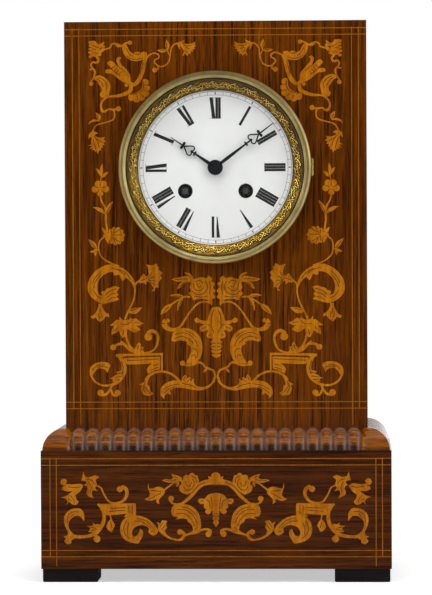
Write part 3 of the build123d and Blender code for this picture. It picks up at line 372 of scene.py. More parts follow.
def make_grain_group():
    """Straight timber grain that runs along z of its vector: tone, dark streaks and open pores."""
    vector = "NodeSocketVector"
    value = "NodeSocketFloat"
    tree, bench, came, gone = new_group(
        "timber_grain",
        (("Vector", vector, None), ("Tone Scale", value, 300.0), ("Streak Scale", value, 680.0),
         ("Pore Scale", value, 1300.0)),
        (("Tone", value), ("Streaks", value), ("Pores", value)),
    )
    drift = bench.noise(bench.mapping(came["Vector"], (9.0, 9.0, 2.2)), 1.0, 2.0)
    bent = bench.add("VectorMath")
    bent.operation = "ADD"
    bench.feed(came["Vector"], bent.inputs[0])
    shift = bench.add("CombineXYZ", X=bench.math("MULTIPLY", drift, 0.012), Y=0.0, Z=0.0)
    bench.feed(shift.outputs[0], bent.inputs[1])
    along = bench.mapping(bent.outputs[0], (1.0, 1.0, 0.035))
    tone_node = bench.add("TexNoise", Vector=along, Detail=6.0, Roughness=0.72)
    bench.feed(came["Tone Scale"], tone_node.inputs["Scale"])
    tone = tone_node.outputs["Fac"]
    streak_node = bench.add("TexNoise", Vector=along, Detail=6.0, Roughness=0.7)
    bench.feed(came["Streak Scale"], streak_node.inputs["Scale"])
    streaks = bench.ramp(streak_node.outputs["Fac"], 0.50, 0.62, 0.0, 1.0)
    pore_node = bench.add("TexNoise", Vector=along, Detail=3.0, Roughness=0.6)
    bench.feed(came["Pore Scale"], pore_node.inputs["Scale"])
    pores = bench.ramp(pore_node.outputs["Fac"], 0.56, 0.64, 0.0, 1.0)
    bench.feed(tone, gone["Tone"])
    bench.feed(streaks, gone["Streaks"])
    bench.feed(pores, gone["Pores"])
    return tree


def make_age_group():
    """Old handling: uneven gloss, settled grime and fine hairline scratches."""
    vector = "NodeSocketVector"
    value = "NodeSocketFloat"
    tree, bench, came, gone = new_group(
        "handling_age",
        (("Vector", vector, None), ("Grime Scale", value, 60.0)),
        (("Grime", value), ("Gloss", value), ("Scratches", value)),
    )
    grime_node = bench.add("TexNoise", Vector=came["Vector"], Detail=6.0, Roughness=0.7)
    bench.feed(came["Grime Scale"], grime_node.inputs["Scale"])
    grime = bench.ramp(grime_node.outputs["Fac"], 0.45, 0.75, 0.0, 1.0)
    gloss = bench.noise(came["Vector"], 22.0, 3.0)
    lines = bench.noise(bench.mapping(came["Vector"], (1.0, 1.0, 0.05), (0.4, 0.7, 0.2)), 1400.0, 2.0)
    scratches = bench.ramp(lines, 0.66, 0.72, 0.0, 1.0)
    bench.feed(grime, gone["Grime"])
    bench.feed(gloss, gone["Gloss"])
    bench.feed(scratches, gone["Scratches"])
    return tree


grain_group = make_grain_group()
age_group = make_age_group()


def new_material(name):
    material = bpy.data.materials.new(name)
    material.use_nodes = True
    bench = Bench(material.node_tree)
    shader = material.node_tree.nodes["Principled BSDF"]
    coordinates = bench.add("TexCoord").outputs["Object"]
    return material, bench, shader, coordinates


def place_group(bench, tree, **inputs):
    node = bench.tree.nodes.new("ShaderNodeGroup")
    node.node_tree = tree
    for name, value in inputs.items():
        bench.feed(value, node.inputs[name.replace("_", " ")])
    return node.outputs


def timber(name, turn, dark, middle, light, streak, streak_share, roughness, coat, specular,
           shift=(0, 0, 0), hollow=None, edge=None):
    """A polished timber whose grain runs along z, turned by turn.

    hollow is the axis, first place and count of a run of ribs, whose flanks and valleys get a pale painted
    reflection and whose feet a painted shade;
    edge is the distance from the middle at which the colour starts to darken towards the sides, and where it
    ends.
    """
    material, bench, shader, coordinates = new_material(name)
    vector = bench.mapping(coordinates, (1, 1, 1), turn, shift)
    grain = place_group(bench, grain_group, Vector=vector)
    age = place_group(bench, age_group, Vector=coordinates)
    body = bench.tint(bench.ramp(grain["Tone"], 0.34, 0.66, 0.0, 1.0), dark, light)
    broad = bench.noise(bench.mapping(vector, (1, 1, 0.12)), 34.0, 3.0)
    body = bench.tint(bench.ramp(broad, 0.4, 0.7, 0.0, 0.6), body, middle)
    body = bench.tint(bench.math("MULTIPLY", grain["Streaks"], streak_share), body, streak)
    body = bench.tint(bench.math("MULTIPLY", grain["Pores"], 0.5), body, streak)
    body = bench.tint(bench.math("MULTIPLY", age["Grime"], 0.18), body, streak)
    if edge:
        # Darker towards the left and right edges of the front; the side panels, further out, are evenly
        # darker
        across = bench.math("ABSOLUTE", bench.add("SeparateXYZ", Vector=coordinates).outputs["X"])
        body = bench.tint(bench.ramp(across, edge[0] * mm, edge[1] * mm, 0.0, 0.45), body, dark)
    if hollow:
        axis, first, count = hollow
        spread = bench.add("SeparateXYZ", Vector=coordinates).outputs
        along = spread[axis]
        turns = bench.math("DIVIDE", bench.math("SUBTRACT", along, first * mm), rib_pitch * mm)
        off_crest = bench.math("ABSOLUTE", bench.math("SUBTRACT", bench.math("FRACT", turns), 0.5))
        height = spread["Z"]
        above = bench.math("MAXIMUM", bench.math("SUBTRACT", height, (plinth_top + arch_spring) * mm), 0.0)
        beside = bench.math("MULTIPLY", off_crest, rib_pitch * mm)
        squares = bench.math("ADD", bench.math("POWER", above, 2.0), bench.math("POWER", beside, 2.0))
        away = bench.math("SQRT", squares)
        uneven = bench.ramp(grain["Tone"], 0.3, 0.7, 0.65, 1.0)
        # Painted reflection: away from each rib's crest, on its flanks and in the valleys, the colour turns
        # pale like the surroundings the ribs mirror
        painted_reflection = bench.math("MULTIPLY", bench.ramp(away, reflection_start * mm, reflection_end * mm, 0.0, 0.75), uneven)
        ribbed = bench.math("MULTIPLY", bench.math("GREATER_THAN", turns, 0.0),
                            bench.math("LESS_THAN", turns, float(count)))
        painted_reflection = bench.math("MULTIPLY", painted_reflection, ribbed)
        # Painted shade: the foot of each rib darkens towards the plinth
        foot = bench.ramp(height, (plinth_top + foot_shade_start) * mm, (plinth_top + foot_shade_end) * mm, 0.85, 0.0)
        foot = bench.math("MULTIPLY", foot, ribbed)
        body = bench.tint(foot, body, linear(22, 11, 5))
        body = bench.tint(painted_reflection, body, linear(122, 100, 90))
    bench.feed(body, shader.inputs["Base Color"])
    rough = bench.ramp(age["Gloss"], 0.3, 0.7, roughness - 0.06, roughness + 0.08)
    bench.feed(rough, shader.inputs["Roughness"])
    relief = bench.math("ADD", bench.math("MULTIPLY", grain["Pores"], -0.7), grain["Tone"])
    bench.feed(bench.bump(relief, 0.12, 0.0002), shader.inputs["Normal"])
    shader.inputs["Specular IOR Level"].default_value = specular
    shader.inputs["Coat Weight"].default_value = coat
    shader.inputs["Coat Roughness"].default_value = 0.12
    return material


def metal(name, pale, deep, tarnish, tarnish_share, roughness, recess=0.0, arbor=None):
    """A metal with fine brushing, uneven tarnish and a few scratches; an arbor through it is dark steel."""
    material, bench, shader, coordinates = new_material(name)
    age = place_group(bench, age_group, Vector=coordinates, Grime_Scale=95.0)
    lines = bench.noise(bench.mapping(coordinates, (1, 1, 0.03)), 2200.0, 3.0)
    cloud = bench.noise(coordinates, 38.0, 5.0, 0.65)
    colour = bench.tint(bench.ramp(cloud, 0.35, 0.65, 0.0, 1.0), pale, deep)
    colour = bench.tint(bench.math("MULTIPLY", age["Grime"], tarnish_share), colour, tarnish)
    if recess:
        # Painted shade, with some patina: hollows that the occlusion finds turn towards the tarnish colour,
        # nearly fully on the gilt
        hollow = bench.add("AmbientOcclusion", Distance=0.0014)
        hollow.samples = 8
        shade = bench.ramp(hollow.outputs["AO"], 0.45, 0.95, recess, 0.0)
        colour = bench.tint(shade, colour, tarnish)
    if arbor:
        x, z, radius = arbor
        flat = bench.mapping(coordinates, (1, 0, 1), place=(-x * mm, 0, -z * mm))
        away = bench.add("VectorMath", Vector=flat)
        away.operation = "LENGTH"
        core = bench.math("LESS_THAN", away.outputs["Value"], radius * mm)
        colour = bench.tint(core, colour, linear(22, 22, 26))
    bench.feed(colour, shader.inputs["Base Color"])
    rough = bench.math("ADD", bench.ramp(age["Gloss"], 0.3, 0.7, roughness - 0.05, roughness + 0.08),
                       bench.math("MULTIPLY", age["Grime"], 0.12))
    bench.feed(rough, shader.inputs["Roughness"])
    scratches = bench.math("MULTIPLY", age["Scratches"], -0.4)
    height = bench.math("ADD", bench.math("MULTIPLY", lines, 0.35), scratches)
    bench.feed(bench.bump(height, 0.08, 0.0001), shader.inputs["Normal"])
    shader.inputs["Metallic"].default_value = 1.0
    return material


quarter = math.pi / 2
upright = (0, 0, 0)
along_x = (0, quarter, 0)
along_y = (quarter, 0, 0)


def rosewood(name, turn, dark, middle, light, shift, edge=None):
    return timber(name, turn, dark, middle, light, linear(30, 11, 2), streak_share=0.8, roughness=0.2,
                  coat=0.0, specular=0.1, shift=shift, edge=edge)


front_tones = (linear(68, 29, 2), linear(102, 49, 5), linear(154, 82, 11))
plinth_tones = (linear(52, 20, 2), linear(74, 33, 5), linear(108, 54, 11))
rosewood_upright = rosewood("rosewood_upright", upright, *front_tones, (0, 0, 0), (45, 95))
rosewood_level = rosewood("rosewood_level", along_x, *plinth_tones, (0.31, 0.2, 0.4))
rosewood_deepwise = rosewood("rosewood_deepwise", along_y, *plinth_tones, (0.5, 0.13, 0.2))


def moulding(name, turn, hollow):
    return timber(name, turn, linear(70, 28, 4), linear(150, 78, 10), linear(204, 116, 20),
                  linear(34, 13, 4), streak_share=0.7, roughness=0.2, coat=0.6, specular=0.4,
                  shift=(0.2, 0.6, 0.1), hollow=hollow)


def oak(name, turn):
    return timber(name, turn, linear(112, 80, 46), linear(134, 98, 60), linear(156, 118, 76),
                  linear(70, 46, 24), streak_share=0.5, roughness=0.62, coat=0.0, specular=0.3,
                  shift=(0.7, 0.1, 0.3))


moulding_across = moulding("moulding_across", along_x, ("X", -front_ribs * rib_pitch / 2, front_ribs))
moulding_deepwise = moulding("moulding_deepwise", along_y, ("Y", side_rib_first, side_ribs))
oak_upright = oak("oak_upright", upright)
oak_level = oak("oak_level", along_x)
ebonised = timber("ebonised_pear", along_x, linear(14, 13, 12), linear(22, 20, 19), linear(34, 29, 26),
                  linear(8, 7, 7), streak_share=0.5, roughness=0.4, coat=0.0, specular=0.15,
                  shift=(0.1, 0.3, 0.9))


def boxwood_material(name, dark, light):
    """Yellow inlay wood with a fine grain, sand-shaded here and there."""
    material, bench, shader, coordinates = new_material(name)
    grain = place_group(bench, grain_group, Vector=coordinates, Streak_Scale=420.0, Pore_Scale=1500.0)
    age = place_group(bench, age_group, Vector=coordinates, Grime_Scale=140.0)
    body = bench.tint(bench.ramp(grain["Tone"], 0.3, 0.7, 0.0, 1.0), dark, light)
    patch = bench.noise(coordinates, 210.0, 3.0)
    body = bench.tint(bench.ramp(patch, 0.5, 0.75, 0.0, 0.8), body, linear(148, 78, 8))
    body = bench.tint(bench.math("MULTIPLY", grain["Streaks"], 0.3), body, linear(128, 66, 8))
    body = bench.tint(bench.math("MULTIPLY", age["Grime"], 0.25), body, linear(104, 52, 8))
    bench.feed(body, shader.inputs["Base Color"])
    bench.feed(bench.ramp(age["Gloss"], 0.3, 0.7, 0.18, 0.3), shader.inputs["Roughness"])
    bench.feed(bench.bump(grain["Tone"], 0.1, 0.0001), shader.inputs["Normal"])
    shader.inputs["Specular IOR Level"].default_value = 0.1
    return material


def enamel_material():
    """White fired enamel: a faint cloudiness and a clean gloss."""
    material, bench, shader, coordinates = new_material("white_enamel")
    age = place_group(bench, age_group, Vector=coordinates, Grime_Scale=45.0)
    cloud = bench.noise(coordinates, 30.0, 4.0)
    body = bench.tint(bench.ramp(cloud, 0.35, 0.65, 0.0, 1.0), linear(229, 229, 230), linear(223, 223, 222))
    body = bench.tint(bench.math("MULTIPLY", age["Grime"], 0.08), body, linear(196, 190, 178))
    bench.feed(body, shader.inputs["Base Color"])
    bench.feed(bench.ramp(age["Gloss"], 0.3, 0.7, 0.16, 0.28), shader.inputs["Roughness"])
    wave = bench.noise(coordinates, 90.0, 2.0)
    bench.feed(bench.bump(wave, 0.05, 0.0004), shader.inputs["Normal"])
    shader.inputs["Specular IOR Level"].default_value = 0.3
    return material


def dark_line_material(name, first, second, rough):
    """Ink or mastic, nearly black, a little uneven."""
    material, bench, shader, coordinates = new_material(name)
    cloud = bench.noise(coordinates, 900.0, 3.0)
    bench.feed(bench.tint(bench.ramp(cloud, 0.4, 0.7, 0.0, 1.0), first, second), shader.inputs["Base Color"])
    bench.feed(bench.ramp(cloud, 0.3, 0.7, rough, rough + 0.15), shader.inputs["Roughness"])
    shader.inputs["Specular IOR Level"].default_value = 0.2
    return material


def glass_material():
    """Clear crown glass that lets the lamps through."""
    material, bench, shader, coordinates = new_material("crown_glass")
    tree = material.node_tree
    cloud = bench.noise(coordinates, 40.0, 3.0)
    bench.feed(bench.ramp(cloud, 0.3, 0.8, 0.0, 0.012), shader.inputs["Roughness"])
    wave = bench.noise(coordinates, 24.0, 2.0)
    bench.feed(bench.bump(wave, 0.02, 0.0004), shader.inputs["Normal"])
    shader.inputs["Base Color"].default_value = (0.985, 0.99, 0.985, 1.0)
    shader.inputs["Transmission Weight"].default_value = 1.0
    # Lower than real glass, which keeps reflections off the dial
    shader.inputs["IOR"].default_value = 1.25
    clear = bench.add("BsdfTransparent", Color=(0.96, 0.97, 0.96, 1.0))
    path = bench.add("LightPath")
    mixed = bench.add("MixShader")
    bench.feed(path.outputs["Is Shadow Ray"], mixed.inputs[0])
    bench.feed(shader.outputs[0], mixed.inputs[1])
    bench.feed(clear.outputs[0], mixed.inputs[2])
    bench.feed(mixed.outputs[0], tree.nodes["Material Output"].inputs["Surface"])
    return material


boxwood = boxwood_material("boxwood_inlay", linear(176, 98, 3), linear(222, 142, 22))
string_wood = boxwood_material("boxwood_stringing", linear(150, 90, 14), linear(182, 114, 28))
enamel = enamel_material()
glass = glass_material()
dial_ink = dark_line_material("dial_ink", linear(4, 4, 5), linear(9, 9, 11), 0.35)
engraved_line = dark_line_material("engraved_mastic", linear(74, 36, 8), linear(100, 54, 14), 0.5)
bezel_brass = metal(
    "bezel_brass", linear(222, 202, 136), linear(200, 178, 112), linear(110, 90, 44),
    tarnish_share=0.45, roughness=0.4)
gilt = metal(
    "gilt_ornament", linear(255, 224, 112), linear(222, 176, 52), linear(40, 26, 0),
    tarnish_share=0.3, roughness=0.14, recess=0.97)
# A darker copy of the gilt: painted shade for the sight ring's cove under the rim and the ground between the
# cast leaves
shaded_gilt = metal(
    "shaded_gilt", linear(134, 98, 10), linear(104, 72, 6), linear(34, 22, 0),
    tarnish_share=0.5, roughness=0.3, recess=0.97)
winding_steel = metal(
    "winding_steel", linear(92, 90, 88), linear(66, 64, 62), linear(30, 28, 26),
    tarnish_share=0.4, roughness=0.3)
brass_tones = (linear(214, 184, 112), linear(196, 162, 88), linear(120, 92, 40))
movement_brass = metal("movement_brass", *brass_tones, tarnish_share=0.35, roughness=0.3)
movement_steel = metal(
    "movement_steel", linear(150, 150, 152), linear(128, 128, 132), linear(70, 62, 54),
    tarnish_share=0.4, roughness=0.3)
blackened_steel = metal(
    "blackened_steel", linear(18, 19, 24), linear(12, 12, 16), linear(8, 8, 9),
    tarnish_share=0.4, roughness=0.36)
centre_wheel_metal = metal("centre_wheel_metal", *brass_tones, tarnish_share=0.35, roughness=0.3,
                           arbor=(0.0, dial_centre_z, 2.6))
bell_metal = metal(
    "bell_metal", linear(176, 166, 140), linear(150, 138, 108), linear(92, 78, 50),
    tarnish_share=0.5, roughness=0.26)

slot_materials = {
    "rosewood": rosewood_upright,
    "moulding_wood": moulding_across,
    "carcase_wood": oak_level,
    "ebonised_wood": ebonised,
    "bezel_brass": bezel_brass,
    "gilt_brass": gilt,
    "glass": glass,
    "enamel": enamel,
    "blackened_steel": blackened_steel,
    "movement_brass": movement_brass,
    "movement_steel": movement_steel,
    "bell_metal": bell_metal,
}
node_materials = {
    "top_panel": rosewood_level,
    "base_front": rosewood_level,
    "base_left": rosewood_deepwise,
    "base_right": rosewood_deepwise,
    "back_panel": oak_upright,
    "centre_wheel": centre_wheel_metal,
    "sight_ring": shaded_gilt,
    "time_winding_arbor": winding_steel,
    "strike_winding_arbor": winding_steel,
}
for subpart in frame["record"]["subparts"]:
    node = frame["nodes"][subpart["node"]]
    chosen = node_materials.get(subpart["node"], slot_materials[subpart["material_slot"]])
    node.data.materials.clear()
    node.data.materials.append(chosen)


# Marquetry drawings: the pixel of each sheet's upper left corner, and its units in one pixel
corner_sheet = (84.0, 36.0, 13.067)
garland_sheet = (60.0, 110.0, 11.2)
scroll_sheet = (60.0, 255.0, 9.225)
plinth_sheet = (56.0, 470.0, 9.8)
line_width = 0.75


def corner_spray():
    """Carnations, a tulip and a shell in the upper corner of the front."""
    wood = jagged(
        (62, 72), (100, 62), (150, 66), (168, 95), (195, 112), (225, 98), (262, 72), (268, 92),
        (252, 108), (275, 130), (272, 150), (255, 158), (275, 182), (250, 205), (222, 222), (232, 248),
        (205, 262), (180, 268), (195, 296), (165, 300), (150, 275), (120, 262), (100, 285), (70, 288),
        (58, 262), (95, 245), (60, 228), (56, 205), (98, 196), (62, 178), (64, 160), (104, 154),
        (66, 136), (66, 112), (108, 112), (64, 98))
    wood += vine(
        (265, 172, 22), (335, 156, 20), (360, 112, 22), (400, 98, 26), (440, 122, 46), (490, 128, 24),
        (530, 100, 20), (580, 82, 22))
    wood += disc(600, 88, 28)
    wood += shape(
        [(495, 130), (505, 190), (530, 250), (590, 305), (660, 328), (740, 320), (800, 292),
        (822, 250)], [(815, 215), (770, 206), (735, 225)], [(715, 208), (665, 212), (645, 232)],
        [(615, 212), (590, 190), (575, 150), (545, 105)], [(515, 110), (495, 130)])
    wood += vine(
        (850, 245, 18), (800, 310, 46), (775, 400, 60), (755, 490, 52), (715, 580, 56), (660, 632, 46),
        (610, 640, 30))
    wood += vine(
        (815, 275, 20), (880, 235, 18), (930, 225, 20), (975, 250, 20), (975, 285, 18), (930, 312, 18),
        (925, 350, 18), (960, 385, 18), (968, 430, 20), (930, 445, 24))
    wood += disc(925, 445, 32)
    wood += vine(
        (955, 385, 16), (1010, 400, 18), (1080, 370, 18), (1115, 310, 17), (1130, 230, 17),
        (1140, 160, 17), (1180, 110, 18), (1240, 92, 20))
    wood += leaf(1092, 182, 1075, 45, 52, 6)
    wood += leaf(1088, 186, 950, 186, 46, -8)
    wood += vine((1085, 180, 12), (1100, 215, 13), (1122, 255, 14))
    wood += jagged(
        (1215, 95), (1250, 75), (1275, 68), (1325, 48), (1300, 75), (1310, 100), (1360, 105),
        (1410, 98), (1460, 72), (1445, 115), (1462, 125), (1440, 150), (1450, 170), (1415, 180),
        (1425, 205), (1385, 205), (1395, 235), (1360, 235), (1355, 265), (1325, 240), (1310, 230),
        (1300, 262), (1285, 250), (1310, 200), (1280, 150), (1250, 120), (1262, 185), (1240, 160),
        (1225, 130))
    wood += shape(
        [(608, 600), (540, 610), (470, 575), (400, 520), (360, 490), (318, 492)],
        [(280, 480), (278, 450), (310, 435), (360, 445), (396, 470)],
        [(350, 405), (306, 365), (325, 330), (370, 332), (415, 375), (462, 420)],
        [(430, 350), (425, 300), (455, 272), (492, 290)],
        [(470, 305), (470, 345), (540, 425), (598, 500), (608, 600)])
    wood += vine((640, 640, 40), (600, 610, 30), (560, 630, 26))
    wood += disc(556, 642, 25)
    wood += vine(
        (612, 620, 44), (612, 690, 52), (580, 733, 48), (510, 765, 44), (430, 785, 38), (340, 790, 24),
        (280, 815, 22), (235, 860, 22), (220, 920, 26), (238, 975, 36), (275, 985, 28), (320, 957, 22),
        (380, 962, 24), (430, 955, 28))
    wood += disc(450, 950, 34)
    wood += shape(
        [(140, 530), (200, 515), (265, 540), (320, 590), (345, 650), (335, 720), (320, 790)],
        [(270, 812), (225, 800), (205, 760)], [(232, 720), (228, 680), (200, 640)],
        [(170, 590), (130, 565), (140, 530)])
    wood += vine(
        (190, 292, 22), (185, 330, 28), (160, 355, 30), (120, 340, 24), (92, 375, 22), (110, 418, 24),
        (138, 450, 26), (142, 490, 28), (125, 545, 20), (90, 595, 18))
    wood += leaf(118, 425, 62, 440, 26, -4)
    wood += disc(95, 622, 28)
    wood += vine((790, 585, 50), (795, 680, 84), (750, 750, 84), (680, 780, 76), (605, 785, 54))
    for x, y, radius in ((805, 605, 42), (822, 680, 40), (810, 752, 42), (755, 805, 44), (685, 825, 44),
                         (618, 808, 40)):
        wood += disc(x, y, radius)
    lines = [
        ((555, 170), (580, 215), (610, 255), (640, 262)), ((645, 225), (690, 240), (735, 232)),
        ((560, 262), (620, 300), (700, 302), (770, 285)), ((392, 462), (430, 492), (475, 520)),
        ((458, 415), (490, 430), (532, 470)), ((400, 395), (362, 425)), ((430, 420), (396, 452)),
        ((455, 445), (420, 482)), ((480, 475), (450, 508)),
        ((200, 545), (262, 580), (298, 640), (288, 710)), ((170, 560), (225, 600), (255, 660)),
        ((782, 600), (778, 670), (742, 728), (680, 752), (615, 765)), ((790, 640), (835, 645)),
        ((785, 715), (830, 722)), ((745, 760), (775, 795)), ((690, 782), (705, 830)),
        ((775, 340), (752, 420), (735, 500)), ((1290, 90), (1330, 130), (1400, 120)),
        ((1330, 150), (1380, 170)), ((1320, 190), (1345, 215)), ((120, 120), (170, 150), (215, 160)),
        ((110, 170), (160, 180)), ((120, 225), (165, 215)), ((150, 245), (180, 225)),
        ((205, 180), (235, 150)), ((1084, 150), (1078, 90)), ((1060, 184), (1000, 184))]
    return wood, lines


def side_garland():
    """Carnation, trefoil, rosette and daisy on a thin stem beside the dial."""
    wood = vine(
        (606, 10, 20), (612, 60, 16), (590, 110, 15), (500, 142, 14), (420, 165, 14), (380, 205, 14),
        (366, 250, 16))
    wood += leaf(440, 122, 398, 26, 46, 10)
    wood += leaf(442, 126, 312, 164, 26, 26)
    wood += jagged(
        (365, 235), (400, 245), (428, 262), (400, 272), (385, 290), (440, 312), (480, 308), (505, 300),
        (490, 330), (515, 355), (485, 365), (500, 392), (470, 395), (480, 420), (455, 425), (462, 452),
        (440, 450), (425, 492), (408, 460), (395, 470), (385, 448), (355, 450), (370, 420), (330, 440),
        (360, 400), (315, 400), (350, 385), (350, 340), (355, 310), (335, 300), (315, 325), (325, 270),
        (345, 250))
    wood += vine((450, 845, 14), (455, 790, 12), (464, 735, 12))
    wood += leaf(464, 742, 402, 652, 36, 6)
    wood += leaf(470, 735, 476, 596, 34, -8)
    wood += leaf(474, 758, 542, 694, 36, -6)
    for x, y in ((425, 828), (487, 828), (512, 885), (450, 928), (392, 888)):
        wood += disc(x, y, 37)
    wood += disc(450, 875, 45)
    wood += vine(
        (446, 940, 18), (465, 1020, 18), (500, 1080, 20), (512, 1130, 22), (514, 1190, 22),
        (512, 1240, 20), (522, 1300, 20), (530, 1360, 22))
    wood += leaf(512, 1176, 362, 1088, 44, 16)
    wood += leaf(514, 1172, 594, 1018, 46, -8)
    wood += burst(625, 1410, 104, 11, 0.2, 0.82)
    wood += vine((545, 1395, 40), (520, 1400, 44), (495, 1405, 26))
    wood += leaf(520, 1402, 468, 1318, 32, 6)
    wood += leaf(505, 1420, 548, 1502, 28, -4)
    wood += vine(
        (505, 1412, 18), (452, 1460, 16), (434, 1520, 15), (440, 1590, 15), (462, 1640, 15),
        (520, 1690, 15), (545, 1702, 16), (600, 1728, 16), (655, 1746, 18))
    wood += leaf(412, 1562, 316, 1448, 52, 8)
    wood += leaf(404, 1560, 330, 1590, 30, -10)
    wood += leaf(412, 1568, 398, 1640, 30, 8)
    wood += vine((405, 1560, 12), (425, 1565, 12), (438, 1560, 12))
    lines = [
        ((385, 300), (420, 350), (440, 420)), ((370, 330), (390, 400), (400, 440)),
        ((410, 320), (470, 360)), ((400, 1125), (460, 1155), (505, 1175)),
        ((575, 1060), (540, 1120), (518, 1165)), ((345, 1480), (380, 1525), (405, 1555)),
        ((415, 60), (430, 95)), ((580, 1400), (690, 1400)), ((590, 1430), (670, 1480)),
        ((600, 1440), (625, 1500)), ((590, 1385), (670, 1340)), ((600, 1372), (622, 1318)),
        ((575, 1415), (570, 1470)), ((576, 1388), (572, 1345))]
    for angle in range(5):
        turn = math.radians(72 * angle + 54)
        lines.append(((450 + 24 * math.cos(turn), 878 + 24 * math.sin(turn)),
                      (450 + 62 * math.cos(turn), 878 + 62 * math.sin(turn))))
    return wood, lines


